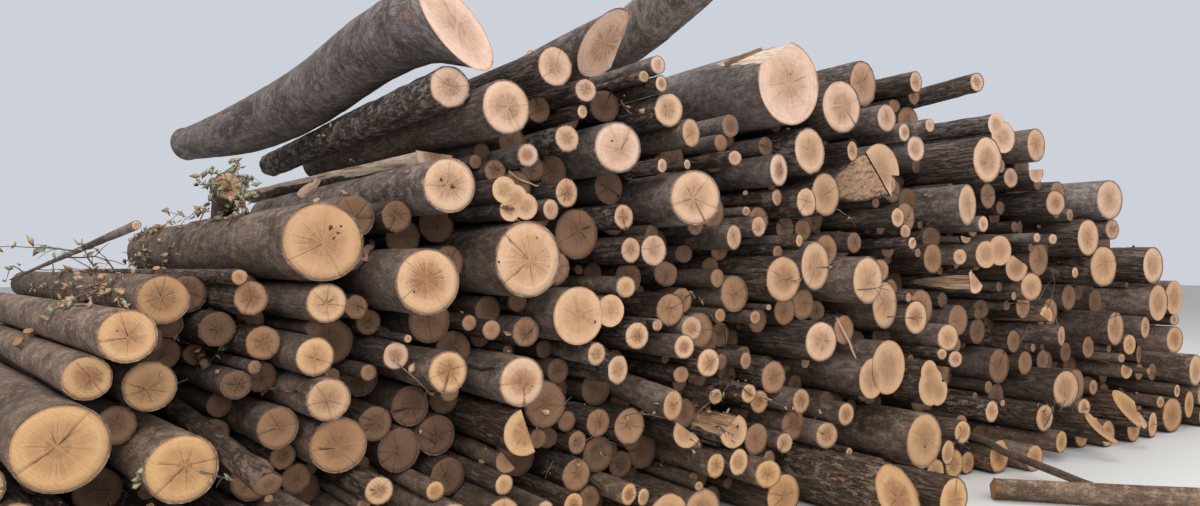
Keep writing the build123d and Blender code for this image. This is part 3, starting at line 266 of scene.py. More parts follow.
class Log:
    """One log as the frame holds it."""

    def __init__(self, points, tris, number, bent):
        self.points = points
        self.tris = tris
        self.bent = bent
        self.dice = np.random.default_rng(number * 7919 + 11)
        a, b, c = (points[tris[:, k]] for k in range(3))
        cross = np.cross(b - a, c - a)
        area = np.linalg.norm(cross, axis=1)
        facing = cross / np.maximum(area, 1e-12)[:, None]
        middle = (a + b + c) / 3.0
        self.area, self.facing, self.middle = area, facing, middle
        axis = np.array((0.0, 1.0, 0.0))
        if not bent:
            axis = np.linalg.svd(points - points.mean(0), full_matrices=False)[2][0]
            axis = axis * math.copysign(1.0, axis[1])
        along = middle @ axis
        ends = []
        for sign in (-1.0, 1.0):
            near_end = along < along.min() + END_ZONE if sign < 0 else along > along.max() - END_ZONE
            chosen = (facing @ axis * sign > 0.5) & near_end
            w = area[chosen][:, None]
            ends.append(((middle[chosen] * w).sum(0) / w.sum(), unit((facing[chosen] * w).sum(0))))
        (self.front, self.front_normal), (self.back, self.back_normal) = ends
        self.aim()
        flank = np.abs(facing @ self.way) < 0.2
        rim = points[np.unique(tris[flank])]
        along = (rim - self.front) @ self.way
        away = np.linalg.norm(rim - self.front - along[:, None] * self.way, axis=1)
        slope, start = np.polyfit(along, away, 1)
        self.radius = float(start)
        self.slope = float(slope)
        self.plain = float(np.abs(away - start - slope * along).max()) < 0.004
        self.hearts = [(0.0, 0.0, self.radius)]
        if not self.plain and not bent:
            self.find_hearts(rim, along)
        self.cover = np.zeros(STATIONS)

    def aim(self):
        """The ways along, across and up of a log, and its length."""
        self.way = unit(self.back - self.front)
        self.length = float(np.linalg.norm(self.back - self.front))
        self.side = unit(np.cross(self.way, (0.0, 0.0, 1.0)))
        self.up = np.cross(self.side, self.way)

    def find_hearts(self, rim, along):
        """The axis of a split or forked log, and the hearts in its front end."""
        place = self.local(rim)[:, (0, 2)]
        left = place[along < along.min() + SLICE]
        rounds = []
        while len(left) > 14 and len(rounds) < 4:
            found = ring_among(left, self.dice)
            if found is None or found[2].sum() < 12:
                break
            middle, r = found[:2]
            apart = [math.hypot(middle[0] - x, middle[1] - z) for x, z, _ in rounds]
            if not apart or min(apart) > 0.02:
                rounds.append((float(middle[0]), float(middle[1]), float(r)))
            left = left[np.abs(np.linalg.norm(left - middle, axis=1) - r) > 0.005]
        far = ring_among(place[along > along.max() - SLICE], self.dice)
        if not rounds or far is None:
            return
        rounds.sort(key=lambda item: -item[2])
        x0, z0, self.radius = rounds[0]
        shift_front = x0 * self.side + z0 * self.up
        shift_back = far[0][0] * self.side + far[0][1] * self.up
        start = self.front
        self.front = start + shift_front
        self.back = start + self.way * self.length + shift_back
        self.aim()
        self.front = self.front + self.way * ((start - self.front) @ self.front_normal
                                              / (self.way @ self.front_normal))
        self.slope = float((far[1] - self.radius) / self.length)
        self.hearts = [(x - x0, z - z0, r) for x, z, r in rounds]

    def local(self, points):
        """Places in the log's own frame: across, along and up."""
        d = points - self.front
        return np.stack((d @ self.side, d @ self.way, d @ self.up), axis=-1)

    def radius_at(self, s):
        return self.radius + self.slope * s

    def across(self, normal):
        """The log's side way, laid into the plane of an end."""
        return unit(self.side - (self.side @ normal) * normal)

    def tube(self, start, s, spoke, r):
        """Places on rings around a line along the log."""
        return start + s[..., None] * self.way + spoke[None, :, :] * r[..., None]

    def spoke(self, angle):
        return np.cos(angle)[..., None] * self.side + np.sin(angle)[..., None] * self.up


def read_logs():
    """The logs of every node, by the node's name."""
    found = {}
    number = 0
    for name in sorted(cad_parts):
        found[name] = []
        for points, tris in islands(*mesh_arrays(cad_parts[name])):
            found[name].append(Log(points, tris, number, name in BENT))
            number += 1
    return found


def prisms(logs, sides=8):
    """A coarse model of all the logs, to test what covers what."""
    points, faces = [], []
    for log in logs:
        angle = around(sides)
        start = len(points)
        for centre, r in ((log.front, log.radius), (log.back, log.radius_at(log.length))):
            points.extend(centre + log.spoke(angle) * r * 0.97)
        for k in range(sides):
            n = (k + 1) % sides
            faces.append((start + k, start + n, start + sides + n, start + sides + k))
        faces.append(tuple(start + k for k in range(sides)))
        faces.append(tuple(start + sides + k for k in range(sides)))
    return BVHTree.FromPolygons([Vector(p) for p in points], faces)


def test_cover(logs):
    """How openly each stretch of each log shows, from 0 to 1."""
    tree = prisms(logs)

    def clear_way(start, way, *limit):
        return tree.ray_cast(Vector(start), Vector(way), *limit)[0] is None

    for log in logs:
        for k in range(STATIONS):
            s = log.length * (k + 0.5) / STATIONS
            centre = log.front + log.way * s
            r = log.radius_at(s)
            seen = 0.0
            to_eye = EYE_PLACE - centre
            to_eye = unit(to_eye - (to_eye @ log.way) * log.way * 0.8)
            for angle, weight in ((90, 0.4), (50, 0.25), (130, 0.25), (10, 0.2), (170, 0.2)):
                d = log.spoke(np.array(math.radians(angle)))
                if clear_way(centre + d * (r + OFF_BARK), d):
                    seen += weight
            for angle in (20, 60, 90, 120, 160):
                d = log.spoke(np.array(math.radians(angle)))
                if d @ to_eye < 0.1:
                    continue
                start = centre + d * (r + OFF_BARK)
                if clear_way(start, unit(EYE_PLACE - start), COVER_SIGHT):
                    seen += 0.35
            log.cover[k] = min(1.0, seen)
        seen = 0
        spots = [np.zeros(3)] + [log.spoke(np.array(a)) * 0.75 * log.radius for a in (0.3, 1.9, 3.4, 5.0)]
        for spot in spots:
            start = log.front + spot - log.way * 0.02
            seen += clear_way(start, unit(EYE_PLACE - start), COVER_SIGHT)
        log.shown = seen / len(spots)


class Skin:
    """Gathers the faces of one piece."""

    def __init__(self):
        self.points, self.grain, self.tint, self.reach = [], [], [], []
        self.faces, self.kinds = [], []
        self.count = 0

    def add(self, points, grain, reach, tint, faces, kind):
        if len(faces) == 1:
            used, local = np.unique(faces[0], return_inverse=True)
            points, grain, faces = points[used], grain[used], [local.reshape(faces[0].shape)]
            reach = reach[used] if np.ndim(reach) else reach
        n = len(points)
        self.points.append(points)
        self.grain.append(grain)
        self.reach.append(np.broadcast_to(reach, (n,)))
        self.tint.append(np.broadcast_to(tint, (n, 4)))
        for block in faces:
            if len(block):
                self.faces.append(np.asarray(block) + self.count)
                self.kinds.append(np.full(len(block), kind))
        self.count += n

    def build(self, name, node, materials):
        me = bpy.data.meshes.new(name)
        points = np.concatenate(self.points)
        me.vertices.add(len(points))
        me.vertices.foreach_set("co", points.astype(np.float32).ravel())
        sizes = np.concatenate([np.full(len(block), block.shape[1]) for block in self.faces])
        corners = np.concatenate([block.ravel() for block in self.faces])
        me.loops.add(len(corners))
        me.loops.foreach_set("vertex_index", corners.astype(np.int32))
        me.polygons.add(len(sizes))
        starts = np.concatenate(((0,), np.cumsum(sizes)[:-1]))
        me.polygons.foreach_set("loop_start", starts.astype(np.int32))
        me.polygons.foreach_set("material_index", np.concatenate(self.kinds).astype(np.int32))
        me.polygons.foreach_set("use_smooth", np.ones(len(sizes), bool))
        grain = me.attributes.new("grain", "FLOAT_VECTOR", "POINT")
        grain.data.foreach_set("vector", np.concatenate(self.grain).astype(np.float32).ravel())
        tint = me.attributes.new("tint", "FLOAT_COLOR", "POINT")
        tint.data.foreach_set("color", np.concatenate(self.tint).astype(np.float32).ravel())
        reach = me.attributes.new("reach", "FLOAT", "POINT")
        reach.data.foreach_set("value", np.concatenate(self.reach).astype(np.float32))
        me.update(calc_edges=True)
        me.validate()
        for material in materials:
            me.materials.append(material)
        piece = bpy.data.objects.new(name, me)
        bpy.context.scene.collection.objects.link(piece)
        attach(piece, "root")
        if node:
            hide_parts(node)
        return piece


def grid_faces(rows, columns, flip=False):
    """Quads of a closed grid of rows around an axis."""
    r = np.arange(rows - 1)[:, None] * columns
    c = np.arange(columns)[None, :]
    n = (c + 1) % columns
    quads = np.stack((r + c, r + n, r + n + columns, r + c + columns), axis=-1).reshape(-1, 4)
    return quads[:, ::-1] if flip else quads


def bark_bumps(log, place):
    """How far bark stands out or in, in metres, at places in the log's frame."""
    r = log.radius
    lump = noise(place * np.array((1.0, 0.5, 1.0)) / (1.3 * r + 0.05) + log.shift, 1)
    out = BARK_LUMPS * r * (lump - 0.85)
    rough = noise(place * np.array((38.0, 9.0, 38.0)) + log.shift * 3.0, 2)
    small = noise(place * np.array((80.0, 26.0, 80.0)) + log.shift * 5.0, 3)
    return out - log.furrow * (1.0 - np.abs(rough)) ** 3 + 0.25 * log.furrow * small


def ring_places(log):
    """Where the rings of a log lie, as shares of its length."""
    close = CLOSE_RING if log.plain else SPLIT_RING
    places = [0.0]
    s = 0.0
    while s < log.length:
        k = min(STATIONS - 1, int(STATIONS * s / log.length))
        open_part = log.cover[k]
        from_end = min(s, log.length - s)
        step = FAR_RING + (close - FAR_RING) * min(1.0, open_part * 1.25) ** 0.5
        if not log.plain and s < 0.6 and log.shown > 0.0:
            step = close
        step = min(step, 0.02 + 0.55 * from_end)
        step = max(step, close * (0.6 if from_end < 0.1 else 1.0))
        s += step * (1.0 + 1.2 * max(0.0, 0.09 - log.radius) / 0.09)
        places.append(s)
    places = np.array(places)
    return places / places[-1]


def columns_of(log):
    """How many columns of faces go around a log: more where it shows."""
    show = max(0.7 * float(log.cover.max()), 0.9 * log.shown)
    width = COLUMN_WIDTH * (2.1 - 1.25 * show)
    if not log.plain:
        width *= 0.66
    return int(min(MOST_COLUMNS, max(FEWEST_COLUMNS, TURN * log.radius / width)))


def end_shift(log, angle, radius, point, normal, middle):
    """How far along the axis each column meets the plane of a sawn end."""
    spoke = log.spoke(angle) * radius[..., None]
    return ((point - middle - spoke) @ normal) / (log.way @ normal)


def section_shift(log):
    """From a split log's heart to the middle of the wood that is left."""
    if log.plain or len(log.hearts) > 1:
        return np.zeros(3)
    flank = (np.abs(log.facing @ log.way) < 0.3) & (log.local(log.middle)[:, 1] < 0.8)
    weight = log.area[flank]
    across, _, up = (log.local(log.middle[flank]) * weight[:, None]).sum(0) / weight.sum()
    return across * log.side + up * log.up


def cut_radii(tree, start, log, s, spoke):
    """How far the frame's own shape reaches from a line inside a split log."""
    cut = np.full(s.shape, np.nan)
    for row in range(s.shape[0]):
        for column in range(s.shape[1]):
            origin, out = Vector(start + s[row, column] * log.way), Vector(spoke[column])
            gone = 0.0
            for _ in range(3):              # past faces where the line comes in
                found = tree.ray_cast(origin + gone * out, out, 0.5)
                if found[0] is None:
                    break
                gone += found[3]
                if found[1].dot(out) > 0.0:
                    cut[row, column] = gone
                    break
                gone += 0.0005
        good = ~np.isnan(cut[row])
        if good.any():
            index = np.arange(len(good))
            cut[row] = np.interp(index, index[good], cut[row][good], period=len(good))
        else:
            cut[row] = log.radius
    return cut


def dress_round(log, skin, stripped=False):
    """Bark and both ends of a log that is a cone in the frame, whole or split."""
    n = columns_of(log)
    angle = around(n) + log.dice.uniform(0.0, 6.28)
    t = ring_places(log)
    r_front = np.full(n, log.radius)
    r_back = np.full(n, log.radius_at(log.length))
    start = log.front + section_shift(log)
    spoke = log.spoke(angle)
    tree = None if log.plain else tree_of(log.points, log.tris)
    for _ in range(1 if log.plain else 3):
        s_front = end_shift(log, angle, r_front, log.front, log.front_normal, start)
        s_back = end_shift(log, angle, r_back, log.back, log.back_normal, start)
        if tree:
            r_front = cut_radii(tree, start, log, s_front[None, :] + INSET, spoke)[0]
            r_back = cut_radii(tree, start, log, s_back[None, :] - INSET, spoke)[0]
    s = s_front[None, :] + t[:, None] * (s_back - s_front)[None, :]
    r = log.radius_at(s)
    torn_share = np.zeros(s.shape)
    if tree:
        inset = np.zeros(s.shape)
        inset[0], inset[-1] = INSET, -INSET
        cut = cut_radii(tree, start, log, s + inset, spoke)
        if len(log.hearts) > 1:
            cut = np.minimum(cut, r)
        bare = log.tube(start, s, spoke, cut)
        place = log.local(bare)
        torn_share = np.clip((r - np.hypot(place[..., 0], place[..., 2]) - 0.002) / 0.01, 0.0, 1.0)
        r = cut
    points = log.tube(start, s, spoke, r)
    place = log.local(points)
    out = bark_bumps(log, place)
    if stripped:
        ragged = noise(place * np.array((9.0, 2.0, 9.0)) + log.shift, 9)
        upward = (spoke @ log.up)[None, :] + 0.35 * ragged
        torn_share = np.maximum(torn_share, np.clip(upward / 0.15, 0.0, 1.0))
    if torn_share.any():
        fibre = noise(place * np.array((60.0, 7.0, 60.0)) + log.shift, 5)
        broad = noise(place * np.array((16.0, 2.5, 16.0)) + log.shift, 6)
        torn_out = -0.003 * (1.0 + fibre) - 0.004 * (1.0 + broad)
        out = out + (torn_out - out) * torn_share
    r = np.maximum(r + out, 0.1 * r)
    points = log.tube(start, s, spoke, r)
    quads = grid_faces(len(t), n)
    opened = (torn_share.reshape(-1)[quads] > 0.02).any(axis=1)
    places = log.local(points).reshape(-1, 3)
    skin.add(points.reshape(-1, 3), places, 1.0, log.tint, [quads[~opened]], BARK)
    if opened.any():
        skin.add(points.reshape(-1, 3), places, 1.0 - torn_share.reshape(-1), log.tint,
                 [quads[opened]], TORN)
    if log.plain:
        dress_end(log, skin, points[0], log.front_normal, True)
        dress_end(log, skin, points[-1], log.back_normal, False)
    else:
        frame_end(log, skin, log.front, log.front_normal, END_FACETS[0])
        frame_end(log, skin, log.back, log.back_normal, END_FACETS[1])


def frame_end(log, skin, place, normal, longest):
    """The end of a split or forked log: the frame's own faces, worked finer."""
    near = (log.facing @ normal > 0.9) & (np.abs((log.middle - place) @ normal) < 0.3)
    used, tris = np.unique(log.tris[near], return_inverse=True)
    tris = tris.reshape(-1, 3)
    points, tris, _ = refined(log.points[used], tris, np.zeros(len(tris), int),
                              lambda p: np.full(len(p), longest))
    flat = log.local(points)[:, (0, 2)]
    level = (points - place) @ normal
    hearts = np.array([(x, z) for x, z, size in log.hearts])
    sizes = np.array([size for x, z, size in log.hearts])
    share = np.linalg.norm(flat[:, None, :] - hearts[None], axis=-1) / sizes
    nearest = share.argmin(axis=1)
    flat = flat - hearts[nearest]
    reach = np.clip(share.min(axis=1), 0.0, 1.0)
    grain = np.stack((flat[:, 0], level + 3.0 * nearest, flat[:, 1]), axis=-1)
    grit = 0.0012 * noise(points * 55.0, 4)
    skin.add(points - (0.001 + grit)[:, None] * normal, grain, reach, log.tint, [tris], WOOD)


def dress_lobe(log, skin, heart, behind):
    """A further heart of a forked or burled end: a bough that runs into the log."""
    x, z, size = heart
    n = int(max(16, min(40, TURN * size / COLUMN_WIDTH)))
    angle = around(n)
    tree = tree_of(log.points, log.tris)
    spoke = log.spoke(angle)
    centre = log.front + x * log.side + z * log.up
    outward = unit(x * log.side + z * log.up)
    deep = 0.06
    while deep < 2.2:
        found = tree.ray_cast(Vector(centre + log.way * deep + outward * 1.2 * size), Vector(-outward), 0.5)
        if found[0] is None or (Vector(centre + log.way * deep) - found[0]).length > 1.35 * size:
            break
        deep += 0.03
    t = np.linspace(0.0, 1.0, int(6 + deep / 0.05)) ** 1.15
    run = deep * t
    tip = np.sqrt(np.clip(1.0 - ((run - deep + size) / size).clip(0.0) ** 2, 0.0, 1.0))
    r = (size + log.slope * run)[:, None] * np.maximum(tip, 0.05)[:, None] * np.ones((1, n))
    s_front = end_shift(log, angle, np.full(n, size), log.front, log.front_normal, centre) + behind
    s = s_front[None, :] * (1.0 - t)[:, None] + run[:, None]
    place = np.stack((x + np.cos(angle) * r, s, z + np.sin(angle) * r), axis=-1)
    r = r + np.minimum(bark_bumps(log, place), 0.0)
    points = log.tube(centre, s, spoke, r)
    skin.add(points.reshape(-1, 3), place.reshape(-1, 3), 1.0, log.tint, [grid_faces(len(t), n)], BARK)


def cracks_of(log, fresh):
    """Angles, starts, ends, half widths and depths of the cracks in an end."""
    if log.radius < CRACK_RADIUS or not fresh or log.shown < 0.1:
        return []
    count = int(log.dice.integers(4, 9))
    found = []
    angle = log.dice.uniform(0.0, 6.28)
    for _ in range(count):
        angle += 6.28 / count * log.dice.uniform(0.65, 1.3)
        long_one = log.dice.random() < 0.4
        stop = log.dice.uniform(0.8, 1.0) if long_one else log.dice.uniform(0.3, 0.75)
        width = log.dice.uniform(0.0006, 0.0016) * (1.6 if long_one else 1.0)
        found.append((angle % TURN, log.dice.uniform(0.0, 0.1), stop, width, 0.012))
    return sorted(found)


def dress_end(log, skin, rim, normal, is_front):
    """A sawn end: a lip of bark, the wood inside it and the cracks in that."""
    n = len(rim)
    middle = rim.mean(0)
    thick = min(0.009, 0.0022 + 0.03 * log.radius)
    arm = rim - middle
    size = np.linalg.norm(arm, axis=1, keepdims=True)
    inner = middle + arm * (1.0 - thick / size)
    sunk = inner - normal * 0.008
    lip = np.concatenate((rim, inner, sunk))
    skin.add(lip, log.local(lip), 1.0, log.tint, [grid_faces(3, n, is_front)], BARK)
    heart = middle + log.heart[0] * log.side * log.radius + log.heart[1] * log.up * log.radius
    heart = heart - ((heart - middle) @ normal) * normal
    cracks = cracks_of(log, is_front)
    local_rim = inner - heart
    across = log.across(normal)
    upward = np.cross(across, normal) * (1.0 if np.cross(across, normal) @ log.up > 0 else -1.0)
    turn = np.arctan2(local_rim @ upward, local_rim @ across) % TURN
    order = np.argsort(turn)
    turn_sorted = turn[order]
    dist_sorted = np.linalg.norm(local_rim[order], axis=1)
    angles, roles = [], []
    step = 2 if n > 24 and not cracks else 1
    for a in turn_sorted[::step]:
        angles.append(a)
        roles.append(None)
    for crack in cracks:
        for part in (-1, 0, 1):
            angles.append(crack[0])
            roles.append((part, crack))
    index = sorted(range(len(angles)), key=lambda k: (angles[k], roles[k][0] if roles[k] else 0))
    angles = np.array([angles[k] for k in index])
    roles = [roles[k] for k in index]
    shares = (1.0, 0.78, 0.52, 0.26, 0.08) if cracks else (1.0, 0.45)
    reach_of = lambda a: np.interp(a, turn_sorted, dist_sorted, period=TURN)
    rows_points = []
    for level, share in enumerate((1.0,) + shares):
        a = angles.copy()
        depth = np.full(len(a), 0.006 if level == 0 else 0.0)
        for k, role in enumerate(roles):
            if role is None:
                continue
            part, (_, start, stop, width, deep) = role
            if start <= share <= stop:
                fade = 1.0 - 0.6 * share / stop
                a[k] += part * width * fade / (share * log.radius)
                if part == 0:
                    depth[k] += deep * fade
            else:
                a[k] += part * 0.0002 / (share * log.radius)
        reach = reach_of(a) * share
        rows_points.append(heart + (np.cos(a) * reach)[:, None] * across
                           + (np.sin(a) * reach)[:, None] * upward - depth[:, None] * normal)
    points = np.concatenate(rows_points + [heart[None, :]])
    rows, m = len(rows_points), len(angles)
    flip = (np.cross(across, upward) @ normal) > 0
    quads = grid_faces(rows, m, not flip)
    last = (rows - 1) * m + np.arange(m)
    fan = np.stack((last, (rows - 1) * m + (np.arange(m) + 1) % m, np.full(m, rows * m)), axis=-1)
    if not flip:
        fan = fan[:, ::-1]
    d = points - heart
    place = np.stack((d @ across, np.full(len(points), 0.0 if is_front else 3.0), d @ upward), axis=-1)
    reach = np.concatenate([np.full(m, share) for share in (1.0,) + shares] + [[0.0]])
    skin.add(points, place, reach, log.tint, [quads, fan], WOOD)


def refined(points, tris, kinds, longest):
    """The mesh with every edge split that is longer than the place allows."""
    for _ in range(SPLIT_ROUNDS):
        pairs = np.sort(np.concatenate((tris[:, (0, 1)], tris[:, (1, 2)], tris[:, (2, 0)])), axis=1)
        keys, first, back = np.unique(pairs[:, 0] * len(points) + pairs[:, 1],
                                      return_index=True, return_inverse=True)
        a, b = pairs[first].T
        back = back.reshape(3, -1).T
        size = np.linalg.norm(points[a] - points[b], axis=1)
        worst = back[np.arange(len(tris)), size[back].argmax(axis=1)]
        halves = np.zeros(len(keys), bool)
        halves[worst] = True
        halves &= size > longest(0.5 * (points[a] + points[b]))
        if not halves.any():
            break
        mids = np.full(len(keys), -1)
        mids[halves] = len(points) + np.arange(halves.sum())
        points = np.concatenate((points, 0.5 * (points[a] + points[b])[halves]))
        mid = mids[back]
        count = (mid >= 0).sum(axis=1)
        turned, turned_mid = tris.copy(), mid.copy()
        for shift in (1, 2):
            lone = (count == 1) & (mid[:, shift] >= 0)
            pair = (count == 2) & (mid[:, (shift + 2) % 3] < 0)
            which = lone | pair
            turned[which] = np.roll(tris[which], -shift, axis=1)
            turned_mid[which] = np.roll(mid[which], -shift, axis=1)
        made, made_kinds = [tris[count == 0]], [kinds[count == 0]]
        for number, shapes in ((1, ((0, 3, 2), (3, 1, 2))),
                               (2, ((3, 1, 4), (0, 3, 4), (0, 4, 2))),
                               (3, ((0, 3, 5), (3, 1, 4), (5, 4, 2), (3, 4, 5)))):
            part = count == number
            corners = np.concatenate((turned[part], turned_mid[part]), axis=1)
            for shape in shapes:
                made.append(corners[:, shape])
                made_kinds.append(kinds[part])
        tris, kinds = np.concatenate(made), np.concatenate(made_kinds)
    return points, tris, kinds


def kinds_of(log):
    """Which faces of a bent trunk are bark and which sawn wood."""
    kinds = np.full(len(log.tris), BARK)
    for place, normal in ((log.front, log.front_normal), (log.back, log.back_normal)):
        level = np.abs((log.middle - place) @ normal)
        kinds[(log.facing @ normal > 0.99) & (level < 0.02)] = WOOD
    return kinds


def heart_line(log):
    """The middle of a bent trunk at any place along it."""
    bins = np.arange(log.points[:, 1].min(), log.points[:, 1].max() + 0.12, 0.12)
    which = np.digitize(log.points[:, 1], bins)
    ys, xs, zs = [], [], []
    for k in np.unique(which):
        part = log.points[which == k]
        ys.append(part[:, 1].mean())
        xs.append(0.5 * (part[:, 0].min() + part[:, 0].max()))
        zs.append(0.5 * (part[:, 2].min() + part[:, 2].max()))
    return lambda y: (np.interp(y, ys, xs), np.interp(y, ys, zs))


def dress_bent(log, skin):
    """A bent trunk: the frame's own shape, worked finer."""
    kinds = kinds_of(log)
    front_y = log.points[:, 1].min()

    def longest(p):
        near_front = np.clip((p[:, 1] - front_y - 0.35) / 0.35, 0.0, 1.0)
        return CLOSE_FACET + (FACET - CLOSE_FACET) * near_front

    points, tris, kinds = refined(log.points, log.tris, kinds, longest)
    a, b, c = (points[tris[:, k]] for k in range(3))
    cross = np.cross(b - a, c - a)
    inside = np.zeros((2, len(points)), bool)
    normal = np.zeros_like(points)
    for kind in (BARK, WOOD):
        inside[kind][np.unique(tris[kinds == kind])] = True
    for corner in range(3):
        np.add.at(normal, tris[:, corner], cross)
    normal = normal / np.maximum(np.linalg.norm(normal, axis=1, keepdims=True), 1e-12)
    cx, cz = heart_line(log)(points[:, 1])
    place = np.stack((points[:, 0] - cx, points[:, 1], points[:, 2] - cz), axis=-1)
    free = inside[BARK] & ~inside[WOOD]
    out = np.where(free, np.minimum(bark_bumps(log, place), 0.003), 0.0)
    points = points + normal * out[:, None]
    cap = points - log.front
    across = log.across(log.front_normal)
    upward = np.cross(log.front_normal, across)
    cap = np.stack((cap @ across, np.zeros(len(cap)), cap @ upward), axis=-1)
    rim = inside[BARK] & inside[WOOD] & (np.abs((points - log.front) @ log.front_normal) < 0.01)
    turn = np.arctan2(cap[:, 2], cap[:, 0])
    order = np.argsort(turn[rim])
    wide = np.interp(turn, turn[rim][order], np.hypot(cap[rim, 0], cap[rim, 2])[order], period=TURN)
    reach = np.clip(np.hypot(cap[:, 0], cap[:, 2]) / wide, 0.0, 1.0)
    skin.add(points, place, 1.0, log.tint, [tris[kinds == BARK]], BARK)
    skin.add(points, cap, reach, log.tint, [tris[kinds == WOOD]], WOOD)


def in_picture(point):
    """Where a place shows in the picture."""
    d = np.array(point) - EYE_PLACE
    across = d[0] * math.cos(EYE_TURN) - d[1] * math.sin(EYE_TURN)
    ahead = max(0.1, d[0] * math.sin(EYE_TURN) + d[1] * math.cos(EYE_TURN))
    return 0.5 * PICTURE[0] + FOCUS * across / ahead, HORIZON - FOCUS * d[2] / ahead


def settle_looks(logs, logs_by_node):
    """The chance values that make each log its own, and the named looks."""
    for log in logs:
        dice = log.dice
        log.shift = dice.uniform(-40.0, 40.0, 3)
        log.heart = dice.normal(0.0, 0.07, 2)
        rough = dice.random()
        # The second look is part wear and part painted shade: the further an end is set back behind the
        # front, the darker its end and bark are made, as if in shadow.
        set_back = min(1.0, max(0.0, (log.front[1] - FRONT) / 0.3))
        height = min(1.0, max(0.0, log.front[2] / 2.4))
        # Tone rises with height: paler, pinker wood on the ends, and on the bark a cool bluish tint that is
        # painted haze
        tone = min(1.0, max(0.0, 0.05 + 0.7 * height + dice.normal(0.0, 0.13)))
        wear_and_shade = min(1.0, max(0.0, set_back + dice.normal(0.1, 0.12)))
        log.looks = [tone, wear_and_shade, rough, dice.random()]
    places = np.array([in_picture(log.front) for log in logs])
    ahead = np.array([log.front[1] < FRONT + 0.15 for log in logs])
    for u, v, rough, wear_and_shade, tone in LOOKS:
        away = np.hypot(*(places - (u, v)).T) + 1e4 * ~ahead
        log = logs[int(away.argmin())]
        log.looks[:3] = tone, wear_and_shade, rough
    for node, looks in LOOKS_OF_NODES.items():
        rough, wear_and_shade, tone = looks
        logs_by_node[node][0].looks[:3] = tone, wear_and_shade, rough
    for log in logs:
        log.furrow = 0.0015 + 0.007 * max(0.0, log.looks[2] - 0.45) / 0.55 * min(1.0, log.radius / 0.12)
        log.tint = np.array(log.looks)


